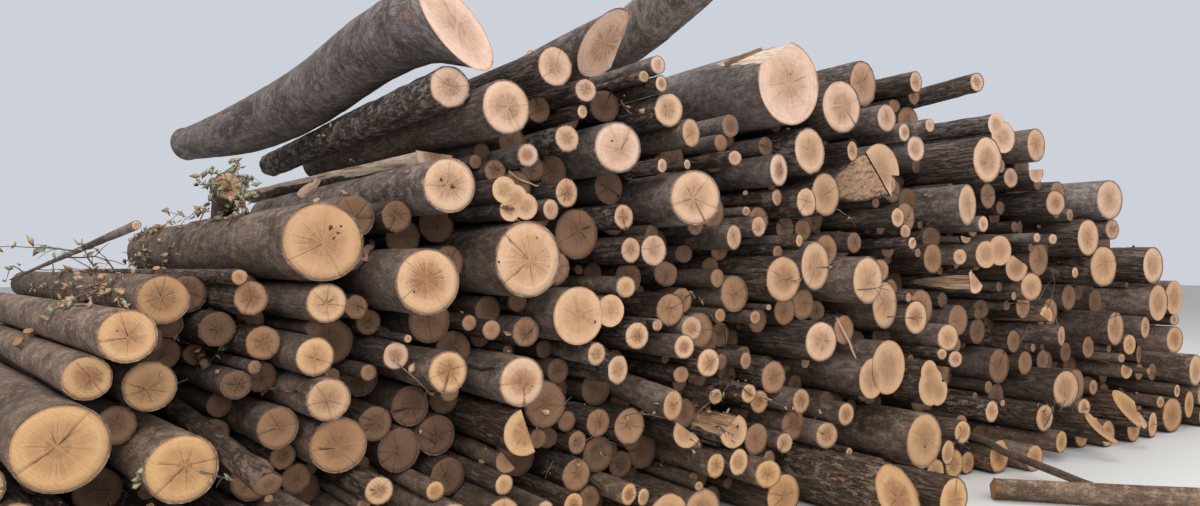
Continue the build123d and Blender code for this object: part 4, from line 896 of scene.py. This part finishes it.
class Scatter:
    """Lays loose things on the logs."""

    def __init__(self, logs):
        self.logs = logs
        self.tree = prisms(logs, ROUND_SIDES)
        self.dice = np.random.default_rng(5)
        self.skin = Skin()

    def ray(self, u, v):
        """The direction from the eye to a place in the picture."""
        across, up = (u - 0.5 * PICTURE[0]) / FOCUS, (HORIZON - v) / FOCUS
        return unit(np.array((math.sin(EYE_TURN) + across * math.cos(EYE_TURN),
                              math.cos(EYE_TURN) - across * math.sin(EYE_TURN), up)))

    def hit(self, u, v):
        """Where the sight line through a place in the picture meets a log."""
        found = self.tree.ray_cast(EYE, Vector(self.ray(u, v)), SIGHT)
        return None if found[0] is None else np.array(found[0])

    def clear(self, point, gap):
        """The point, moved out of any log that it lies in."""
        for _ in range(4):
            face = self.tree.find_nearest(Vector(point))[2]
            log = self.logs[face // (ROUND_SIDES + 2)]
            along = (point - log.front) @ log.way
            if not 0.0 < along < log.length:
                break
            axis = log.front + along * log.way
            away = max(1e-6, float(np.linalg.norm(point - axis)))
            if away >= log.radius_at(along) + gap:
                break
            point = axis + (point - axis) * (log.radius_at(along) + gap) / away
        return np.array((point[0], point[1], max(point[2], gap)))

    def stick(self, path, radius, flat=1.0, kind=BARK, tint=(0.3, 0.2, 0.5, 0.5), tip=0.45,
              face=(0.1, 0.2, 1.0)):
        """A twig, pole or strip along a path."""
        sides = 6 if radius < 0.02 else 12
        path = np.array(path)
        way = unit(np.gradient(path, axis=0))
        side = unit(np.cross(way, face))
        up = np.cross(side, way)
        turn = around(sides)
        share = np.linspace(0.0, 1.0, len(path))
        wide = radius * (1.0 + (tip - 1.0) * share)
        wide = wide[:, None] * (1.0 + 0.15 * noise(np.stack((share * 9.0 + radius * 900.0, turn[0] + share,
                                                             share), axis=-1), 8))[:, None]
        points = (path[:, None, :] + (np.cos(turn) * wide)[..., None] * side[:, None, :]
                  + (np.sin(turn) * wide * flat)[..., None] * up[:, None, :])
        run = np.concatenate(([0.0], np.cumsum(np.linalg.norm(np.diff(path, axis=0), axis=1))))
        grain = np.stack((np.cos(turn) * wide, np.broadcast_to(run[:, None], wide.shape[:1] + (sides,)),
                          np.sin(turn) * wide), axis=-1) + self.dice.uniform(-20.0, 20.0)
        self.skin.add(points.reshape(-1, 3), grain.reshape(-1, 3), 1.0 if kind == BARK else 0.0, tint,
                      [grid_faces(len(path), sides)], kind)
        for end, flip in ((0, 1), (-1, -1)):
            loop = np.arange(sides)[::flip]
            self.skin.add(points[end], grain[end], 0.3, tint, [loop[None, :]],
                          WOOD if kind == BARK else kind)

    def leaf(self, place, size, green):
        """A leaf, as a thin closed blade with a bend."""
        dice = self.dice
        way, other = unit(dice.normal(size=(2, 3)))
        side = unit(np.cross(way, other))
        up = np.cross(side, way)
        wide = size * dice.uniform(0.18, 0.34)
        bend = up * size * dice.uniform(0.05, 0.3)
        points = place + np.array((-0.5 * size * way, 0.5 * size * way - bend, wide * side + 0.2 * bend,
                                   -wide * side + 0.2 * bend, bend + 0.0006 * up, bend - 0.0006 * up))
        faces = np.array(((0, 2, 4), (2, 1, 4), (1, 3, 4), (3, 0, 4),
                          (2, 0, 5), (1, 2, 5), (3, 1, 5), (0, 3, 5)))
        tint = (1.0 if green else 0.0, dice.random(), 0.0, dice.random())
        self.skin.add(points, points - place + dice.uniform(-9.0, 9.0, 3), 1.0, tint, [faces], LEAF)

    def heap(self, u, v, spread, twigs, leaves, green, longest):
        """Twigs with side twigs, and leaves on them or near them."""
        dice = self.dice
        spots = []
        for _ in range(twigs):
            start = self.hit(u + dice.normal(0.0, spread), v + 0.7 * dice.normal(0.0, spread))
            if start is None:
                continue
            start = start + 0.01 * unit(EYE_PLACE - start)
            radius = dice.uniform(0.0022, 0.0055)
            way = unit(np.array((dice.normal(), 0.6 * dice.normal() - 0.5, 0.5 * dice.normal() + 0.25)))
            length = longest * dice.uniform(0.4, 1.0)
            path = [start]
            for _ in range(6):
                way = unit(way + dice.normal(0.0, 0.16, 3) - np.array((0.0, 0.0, 0.04)))
                path.append(self.clear(path[-1] + way * length / 6.0, radius + 0.001))
            self.stick(path, radius, tint=(dice.random(), dice.random() * 0.6, 0.4, dice.random()))
            spots += path[2:]
            for _ in range(2):
                base = path[int(dice.integers(2, 6))]
                way_out = unit(way + dice.normal(0.0, 0.7, 3))
                short = [base, base + way_out * length * 0.16,
                         base + way_out * length * 0.3 - np.array((0, 0, 0.01))]
                self.stick([self.clear(point, 0.002) for point in short], 0.55 * radius)
                spots.append(short[-1])
        for _ in range(leaves):
            if spots and dice.random() < 0.75:
                base = spots[int(dice.integers(len(spots)))] + dice.normal(0.0, 0.012, 3)
            else:
                base = self.hit(u + dice.normal(0.0, spread), v + 0.7 * dice.normal(0.0, spread))
                if base is None:
                    continue
            self.leaf(self.clear(base, 0.008), dice.uniform(0.024, 0.068), dice.random() < green)

    def strip(self, u0, v0, u1, v1, width, thick, is_bark):
        """A strip of bark or torn wood between two places in the picture."""
        start, end = self.hit(u0, v0), self.hit(u1, v1)
        if start is None:
            return
        depth = float(np.linalg.norm(start - EYE_PLACE))
        if end is None or np.linalg.norm(end - start) > 0.8:
            end = EYE_PLACE + self.ray(u1, v1) * depth
        path = []
        for share in np.linspace(0.0, 1.0, 7):
            point = start + (end - start) * share + self.dice.normal(0.0, 0.003, 3)
            path.append(self.clear(point, thick))
        tone = 0.2 if is_bark else 0.7
        self.stick(path, 0.5 * width, thick / width, BARK if is_bark else TORN, (tone, 0.2, 0.6, 0.5), 0.6,
                   unit(EYE_PLACE - path[3]))

    def knot(self, u, v, radius):
        """A dark knot in the sawn end that shows at a place in the picture."""
        way = self.ray(u, v)
        best = None
        for log in self.logs:
            run = ((log.front - EYE_PLACE) @ log.front_normal) / (way @ log.front_normal)
            place = EYE_PLACE + way * run
            if np.linalg.norm(place - log.front) < 0.96 * log.radius and (best is None or run < best[0]):
                best = run, place, log
        if best is None:
            return
        place, log = best[1:]
        if not log.plain:
            place = place - 0.001 * way
        turn = around(KNOT_SIDES)
        across = log.across(log.front_normal)
        upward = np.cross(log.front_normal, across)
        size = radius * (1.0 + 0.3 * self.dice.normal(size=KNOT_SIDES)).clip(0.5, 1.5)
        rim = place + (np.cos(turn) * size)[:, None] * across + (np.sin(turn) * size)[:, None] * upward
        points = np.concatenate((rim + 0.0003 * log.front_normal, rim * 0.5 + place * 0.5
                                 + 0.0012 * log.front_normal, [place + 0.0010 * log.front_normal]))
        corner = np.arange(KNOT_SIDES)
        last = np.stack((KNOT_SIDES + corner, KNOT_SIDES + (corner + 1) % KNOT_SIDES,
                         np.full(KNOT_SIDES, 2 * KNOT_SIDES)), axis=-1)
        self.skin.add(points, points - place + self.dice.uniform(-9.0, 9.0, 3), 1.0, log.tint,
                      [grid_faces(2, KNOT_SIDES), last], KNOT)

    def stub(self, log):
        """The sawn stub of a branch, or of a broken one."""
        dice = self.dice
        place = dice.uniform(0.12, 1.5)
        turn = math.radians(dice.uniform(20.0, 160.0))
        out = unit(log.spoke(np.array(turn)) - 0.5 * log.way)
        r = log.radius_at(place)
        base = log.front + log.way * place + log.spoke(np.array(turn)) * (r - 0.02)
        size = min(0.3 * log.radius, dice.uniform(0.007, 0.022))
        if self.tree.ray_cast(Vector(base + out * 0.04), Vector(out), 0.05)[0] is not None:
            return
        reach = 0.020 + dice.uniform(0.8, 2.2) * size
        path = [base + out * length for length in (0.0, 0.012, 0.022, reach)]
        self.stick(path, size * 1.35, 1.0, BARK, (log.tint[0], 0.1, log.tint[2], log.tint[3]), 0.72)


def litter(logs):
    """Everything loose that lies on the stack, and the stubs of branches."""
    scatter = Scatter(logs)
    for item in HEAPS:
        scatter.heap(*item)
    for item in STRIPS:
        scatter.strip(*item)
    for item in KNOTS:
        scatter.knot(*item)
    for log in logs:
        if not log.bent and log.shown > 0.5 and log.radius > 0.05 and log.cover[:4].max() > 0.3:
            for _ in range(int(scatter.dice.integers(0, 4))):
                scatter.stub(log)
    start = scatter.hit(*POLE[0])
    way = scatter.ray(*POLE[1])
    foot = EYE_PLACE + way * (EYE[2] - POLE_RADIUS) / -way[2]
    if start is not None:
        foot[1] = max(foot[1], CAD_BOX[0][1] + POLE_RADIUS)
        path = [scatter.clear(start + (foot - start) * share, POLE_RADIUS)
                for share in np.linspace(0.0, 1.0, POLE_STEPS)]
        scatter.stick(path, POLE_RADIUS, tip=1.1)
    return scatter.skin


# Materials


class Nodes:
    """A short way to write a node tree."""

    def __init__(self, name):
        self.material = bpy.data.materials.new(name)
        self.material.use_nodes = True
        self.tree = self.material.node_tree
        self.shader = self.tree.nodes["Principled BSDF"]

    def add(self, kind, values=(), **options):
        node = self.tree.nodes.new(kind)
        for key, value in options.items():
            setattr(node, key, value)
        for key, value in dict(values).items():
            self.put(node.inputs[key], value)
        return node

    def put(self, socket, value):
        """A value or another node's output for an input."""
        if hasattr(value, "is_output"):
            self.tree.links.new(value, socket)
        else:
            socket.default_value = value

    def attribute(self, name):
        return self.add("ShaderNodeAttribute", attribute_name=name)

    def math(self, operation, a, b=0.0):
        return self.add("ShaderNodeMath", {0: a, 1: b}, operation=operation).outputs[0]

    def noise(self, vector, scale, detail=3.0, rough=0.5, distortion=0.0):
        return self.add("ShaderNodeTexNoise", {"Vector": vector, "Scale": scale, "Detail": detail,
                                               "Roughness": rough, "Distortion": distortion}).outputs["Fac"]

    def times(self, a, b):
        return self.math("MULTIPLY", a, b)

    def fold(self, value):
        """How far a value is from one half: lines where noise crosses it."""
        return self.math("ABSOLUTE", self.math("SUBTRACT", value, 0.5))

    def pattern(self, across, along, detail, rough, distortion=0.0, scale=1.0):
        """Noise stretched along the log's own grain."""
        return self.noise(self.stretch(self.grain, (across, along, across), self.shift),
                          scale, detail, rough, distortion)

    def stretch(self, vector, scale, shift=None):
        moved = vector
        if shift is not None:
            moved = self.add("ShaderNodeVectorMath", {0: vector, 1: shift}, operation="ADD").outputs[0]
        return self.add("ShaderNodeVectorMath", {0: moved, 1: scale}, operation="MULTIPLY").outputs[0]

    def span(self, value, low, high, to_low=0.0, to_high=1.0):
        return self.add("ShaderNodeMapRange", {"Value": value, "From Min": low, "From Max": high,
                                               "To Min": to_low, "To Max": to_high}).outputs[0]

    def blend(self, share, a, b, mode="MIX"):
        return self.add("ShaderNodeMix", {0: share, 6: a, 7: b}, data_type="RGBA", blend_type=mode,
                        clamp_factor=True).outputs[2]

    def over(self, below, value, low, high, most, colour):
        """A colour laid over another, the more the value goes from low to high."""
        return self.blend(self.span(value, low, high, 0.0, most), below, rgb(*colour))

    def bump(self, height, distance, strength=1.0, after=None):
        values = {"Height": height, "Distance": distance, "Strength": strength}
        if after is not None:
            values["Normal"] = after
        return self.add("ShaderNodeBump", values).outputs[0]

    def finish(self, colour, rough, normal, specular=0.3):
        for key, value in (("Base Color", colour), ("Normal", normal), ("Roughness", rough),
                           ("Specular IOR Level", specular)):
            self.put(self.shader.inputs[key], value)
        return self.material


def rgb(r, g, b):
    """A colour given as it is seen, from 0 to 255."""
    return tuple(((c / 255.0 + 0.055) / 1.055) ** 2.4 for c in (r, g, b)) + (1.0,)


def parts_of(n):
    """The tint and seed that every timber material starts from."""
    tint = n.add("ShaderNodeSeparateColor", {0: n.attribute("tint").outputs["Color"]})
    seed = n.attribute("tint").outputs["Alpha"]
    n.grain = n.attribute("grain").outputs["Vector"]
    n.shift = n.add("ShaderNodeCombineXYZ", {0: n.times(seed, 31.0), 1: n.times(tint.outputs[0], 17.0),
                                             2: n.times(seed, 57.0)}).outputs[0]
    return tint.outputs, seed


def bark_look(n, tint, seed):
    """Colour of bark and how far it stands out."""
    tone, rough = tint[0], tint[2]
    other = n.math("FRACT", n.times(seed, 13.7))
    ridge = n.pattern(30.0, 4.2, 4.0, 0.55, 0.7)
    ridge = n.fold(ridge)
    small = n.pattern(72.0, 13.0, 3.0, 0.55, 0.5)
    small = n.fold(small)
    furrow = n.times(n.span(ridge, 0.01, 0.1), n.span(small, 0.0, 0.09, 0.4, 1.0))
    fine = n.pattern(150.0, 48.0, 4.0, 0.7)
    patch = n.pattern(6.5, 2.4, 4.0, 0.6)
    mottle = n.pattern(26.0, 13.0, 6.0, 0.72)
    wrinkle = n.pattern(11.0, 95.0, 3.0, 0.6, 0.4)
    smooth = n.blend(n.span(patch, 0.36, 0.62), rgb(96, 84, 76), rgb(148, 135, 125))
    smooth = n.over(smooth, mottle, 0.5, 0.62, 0.65, (176, 166, 154))
    smooth = n.over(smooth, mottle, 0.5, 0.34, 0.6, (68, 56, 50))
    smooth = n.over(smooth, wrinkle, 0.54, 0.68, 0.5, (64, 53, 48))
    ridges = n.blend(n.span(patch, 0.35, 0.65), rgb(112, 97, 86), rgb(146, 132, 120))
    # The furrows get the darkest bark colour: partly their own colour, partly painted shade in the creases
    furrowed = n.blend(furrow, rgb(46, 38, 33), ridges)
    colour = n.blend(n.span(rough, 0.38, 0.56), smooth, furrowed)
    colour = n.over(colour, fine, 0.56, 0.36, 0.6, (56, 46, 40))
    flakes = n.times(n.span(mottle, 0.53, 0.58), n.span(rough, 0.72, 0.92))
    colour = n.blend(n.times(flakes, 0.6), colour, rgb(172, 164, 154))
    scuff = n.pattern(8.0, 3.0, 6.0, 0.65, scale=1.3)
    scuff = n.times(n.span(scuff, 0.62, 0.66), n.span(other, 0.25, 0.7, 0.15, 0.75))
    colour = n.blend(scuff, colour, rgb(158, 114, 84))
    moss = n.pattern(5.0, 3.0, 5.0, 0.7, scale=1.7)
    moss = n.times(n.span(moss, 0.52, 0.64), n.span(other, 0.6, 0.95, 0.0, 0.5))
    colour = n.blend(moss, colour, rgb(104, 106, 84))
    # Each log's tone tints its bark: warm for a low tone, cool bluish for a high one, and that bluish tint
    # is painted haze of sky light
    shade = n.blend(tone, rgb(246, 226, 208), rgb(240, 243, 255))
    colour = n.blend(1.0, colour, shade, "MULTIPLY")
    colour = n.over(colour, seed, 0.2, 1.0, 0.42, (62, 51, 45))
    # Wear and painted shade darken the bark of set-back logs, as if in shadow
    colour = n.blend(n.times(tint[1], 0.45), colour, rgb(52, 42, 37))
    lie = n.span(rough, 0.3, 0.7, 0.12, 1.0)
    height = n.math("ADD", n.times(furrow, lie), n.times(mottle, 0.3))
    return colour, height, fine


def bark_material():
    n = Nodes("bark")
    colour, height, fine = bark_look(n, *parts_of(n))
    normal = n.bump(height, 0.008, 0.9)
    normal = n.bump(fine, 0.002, 0.8, normal)
    return n.finish(colour, 0.92, normal, 0.2)


def wood_material():
    n = Nodes("sawn_wood")
    tint, seed = parts_of(n)
    tone, wear_and_shade = tint[0], tint[1]
    other = n.math("FRACT", n.times(seed, 23.1))
    reach = n.attribute("reach").outputs["Fac"]
    flat = n.stretch(n.grain, (1.0, 0.0, 1.0))
    away = n.add("ShaderNodeVectorMath", {0: flat}, operation="LENGTH").outputs["Value"]
    wobble = n.pattern(11.0, 11.0, 3.0, 0.5)
    wavy = n.math("ADD", away, n.times(wobble, 0.016))
    rings = n.math("SINE", n.times(wavy, 900.0))
    zones = n.noise(n.add("ShaderNodeCombineXYZ", {0: n.times(wavy, 55.0), 1: seed}).outputs[0],
                    1.0, 3.0, 0.6)
    way = n.add("ShaderNodeVectorMath", {0: flat}, operation="NORMALIZE").outputs[0]
    rays = n.noise(n.stretch(way, (2.6, 2.6, 2.6), n.shift), 1.6, 4.0, 0.8)
    rays = n.fold(rays)
    long_check = n.times(n.span(rays, 0.0, 0.007, 1.0, 0.0),
                        n.span(reach, 0.45, 0.8, 0.8, 0.0))
    burst = n.noise(n.stretch(way, (9.0, 9.0, 9.0), n.shift), 1.5, 3.0, 0.8)
    burst = n.fold(burst)
    limit = n.math("ADD", 0.22, n.times(other, 0.4))
    inner = n.times(n.math("LESS_THAN", reach, limit), n.span(reach, 0.02, 0.1))
    check = n.math("MAXIMUM", long_check, n.times(n.span(burst, 0.0, 0.02, 0.7, 0.0), inner))
    streaks = n.noise(n.stretch(way, (26.0, 26.0, 26.0), n.shift), 3.0, 3.0, 0.6)
    heart = n.math("ADD", reach, n.times(n.math("SUBTRACT", wobble, 0.5), 0.5))
    golden = n.blend(n.span(heart, 0.5, 0.72), rgb(166, 129, 86), rgb(189, 153, 104))
    beige = n.blend(n.span(heart, 0.4, 0.8), rgb(186, 156, 138), rgb(206, 182, 168))
    colour = n.blend(tone, golden, beige)
    colour = n.over(colour, zones, 0.35, 0.65, 0.3, (170, 122, 84))
    red = n.times(n.span(heart, 0.42, 0.3), n.span(other, 0.8, 0.86, 0.0, 0.65))
    colour = n.blend(red, colour, rgb(150, 96, 68))
    blotch = n.pattern(13.0, 13.0, 5.0, 0.65)
    colour = n.over(colour, blotch, 0.48, 0.68, 0.45, (172, 124, 88))
    colour = n.over(colour, streaks, 0.35, 0.7, 0.22, (128, 88, 58))
    colour = n.over(colour, rings, -1.0, 1.0, 0.16, (126, 82, 50))
    saw = n.add("ShaderNodeTexWave",
                {"Vector": n.stretch(n.grain, (1.0, 0.0, 1.0), n.shift), "Scale": 30.0,
                 "Distortion": 4.0, "Detail": 2.0}, bands_direction="DIAGONAL").outputs["Fac"]
    colour = n.over(colour, saw, 0.0, 1.0, 0.12, (140, 104, 72))
    # Wear and painted shade: set-back ends are darkened, as if in shadow among the logs
    colour = n.over(colour, wear_and_shade, 0.0, 0.6, 0.85, (132, 96, 70))
    colour = n.over(colour, wear_and_shade, 0.5, 1.0, 0.75, (78, 59, 46))
    colour = n.blend(n.times(check, 0.85), colour, rgb(60, 40, 27))
    edge = n.math("ADD", reach, n.times(n.math("SUBTRACT", blotch, 0.5), 0.08))
    colour = n.over(colour, edge, 0.94, 0.985, 0.6, (134, 88, 58))
    grime = n.pattern(42.0, 42.0, 4.0, 0.7)
    colour = n.over(colour, grime, 0.6, 0.72, 0.35, (112, 78, 54))
    normal = n.bump(n.math("SUBTRACT", 1.0, check), 0.003, 0.7)
    normal = n.bump(saw, 0.0009, 0.6, normal)
    normal = n.bump(rings, 0.0005, 0.5, normal)
    return n.finish(colour, 0.78, normal, 0.25)


def torn_material():
    """Bark that is split away, down to the fibres of the wood."""
    n = Nodes("torn_wood")
    tint, seed = parts_of(n)
    bark, height, _ = bark_look(n, tint, seed)
    fibres = n.pattern(150.0, 6.0, 5.0, 0.65)
    shreds = n.pattern(40.0, 2.2, 4.0, 0.6)
    patch = n.pattern(9.0, 2.5, 3.0, 0.55)
    colour = n.blend(n.span(patch, 0.35, 0.66), rgb(198, 162, 126), rgb(166, 118, 86))
    colour = n.over(colour, shreds, 0.4, 0.66, 0.6, (214, 186, 154))
    colour = n.blend(n.times(n.span(tint[0], 0.5, 1.0), 0.6), colour, rgb(216, 202, 184))
    colour = n.over(colour, shreds, 0.46, 0.36, 0.75, (120, 82, 62))
    colour = n.over(colour, fibres, 0.52, 0.36, 0.7, (104, 72, 52))
    # Wear and painted shade darken the torn wood of set-back logs, as if in shadow
    colour = n.blend(n.times(tint[1], 0.7), colour, rgb(128, 98, 78))
    ragged = n.math("ADD", n.attribute("reach").outputs["Fac"],
                    n.times(n.math("SUBTRACT", shreds, 0.5), 0.7))
    has_bark = n.span(ragged, 0.47, 0.55)
    colour = n.blend(has_bark, colour, bark)
    normal = n.bump(n.math("ADD", shreds, n.times(height, 0.6)), 0.007, 0.9)
    normal = n.bump(n.math("ADD", fibres, n.times(has_bark, 0.8)), 0.003, 0.9, normal)
    return n.finish(colour, 0.88, normal, 0.2)


def leaf_material():
    """Dry leaves and the green ones that still hang on them."""
    n = Nodes("leaves")
    tint = parts_of(n)[0]
    vein = n.pattern(60.0, 60.0, 4.0, 0.6)
    dry = n.blend(n.span(vein, 0.3, 0.7), rgb(134, 104, 78), rgb(186, 156, 122))
    green = n.blend(n.span(vein, 0.3, 0.7), rgb(116, 122, 92), rgb(158, 162, 130))
    colour = n.blend(n.span(tint[0], 0.45, 0.55), dry, green)
    return n.finish(colour, 0.8, n.bump(vein, 0.001, 0.6), 0.25)


def knot_material():
    """Dark knots and rot in a sawn end."""
    n = Nodes("knots")
    parts_of(n)
    crumb = n.pattern(160.0, 160.0, 4.0, 0.7)
    colour = n.blend(n.span(crumb, 0.35, 0.65), rgb(44, 30, 24), rgb(96, 60, 42))
    return n.finish(colour, 0.9, n.bump(crumb, 0.003, 0.9), 0.15)


def floor_and_backdrop():
    me = bpy.data.meshes.new("studio_floor")
    h = FLOOR_SIZE
    me.from_pydata([(-h, -h, 0.0), (h, -h, 0.0), (h, h, 0.0), (-h, h, 0.0)], [], [(0, 1, 2, 3)])
    floor = bpy.data.objects.new("studio_floor", me)
    bpy.context.scene.collection.objects.link(floor)
    n = Nodes("pale_floor")
    n.shader.inputs["Base Color"].default_value = (0.62, 0.61, 0.59, 1.0)
    n.shader.inputs["Roughness"].default_value = 0.95
    me.materials.append(n.material)
    world = bpy.data.worlds.new("studio")
    bpy.context.scene.world = world
    world.use_nodes = True
    tree = world.node_tree
    background = tree.nodes["Background"]
    background.inputs["Color"].default_value = (0.93, 0.95, 1.0, 1.0)
    background.inputs["Strength"].default_value = 0.62
    seen = tree.nodes.new("ShaderNodeBackground")
    seen.inputs["Color"].default_value = rgb(205, 210, 218)
    path = tree.nodes.new("ShaderNodeLightPath")
    mix = tree.nodes.new("ShaderNodeMixShader")
    tree.links.new(path.outputs["Is Camera Ray"], mix.inputs[0])
    tree.links.new(background.outputs[0], mix.inputs[1])
    tree.links.new(seen.outputs[0], mix.inputs[2])
    tree.links.new(mix.outputs[0], tree.nodes["World Output"].inputs["Surface"])


def lamp(name, place, aim, size, power):
    data = bpy.data.lights.new(name, "AREA")
    data.shape = "DISK"
    data.size = size
    data.energy = power
    obj = bpy.data.objects.new(name, data)
    obj.location = place
    obj.rotation_euler = (Vector(aim) - Vector(place)).to_track_quat("-Z", "Y").to_euler()
    bpy.context.scene.collection.objects.link(obj)


def camera():
    data = bpy.data.cameras.new("main_view")
    data.lens = LENS
    data.sensor_width = SENSOR
    data.shift_y = HORIZON_SHIFT
    data.clip_end = 200.0
    obj = bpy.data.objects.new("main_view", data)
    obj.location = EYE
    obj.rotation_euler = (math.pi / 2.0, 0.0, -EYE_TURN)
    bpy.context.scene.collection.objects.link(obj)
    bpy.context.scene.camera = obj


def main():
    logs_by_node = read_logs()
    every = [log for logs in logs_by_node.values() for log in logs]
    settle_looks(every, logs_by_node)
    test_cover(every)
    materials = [bark_material(), wood_material(), torn_material(), leaf_material(), knot_material()]
    for node, logs in logs_by_node.items():
        skin = Skin()
        for log in logs:
            if log.bent:
                dress_bent(log, skin)
                continue
            dress_round(log, skin, node == "split_slab")
            for number, heart in enumerate(log.hearts[1:]):
                dress_lobe(log, skin, heart, 0.0015 * (number + 1))
        skin.build(node + "_timber", node, materials)
    litter(every).build("litter", None, materials)


def clear_start():
    for name in ("Cube", "Light", "Camera"):
        if name in bpy.data.objects:
            bpy.data.objects.remove(bpy.data.objects[name])


clear_start()
camera()
floor_and_backdrop()
for item in LAMPS:
    lamp(*item)
main()
bpy.context.scene.view_settings.view_transform = "Standard"
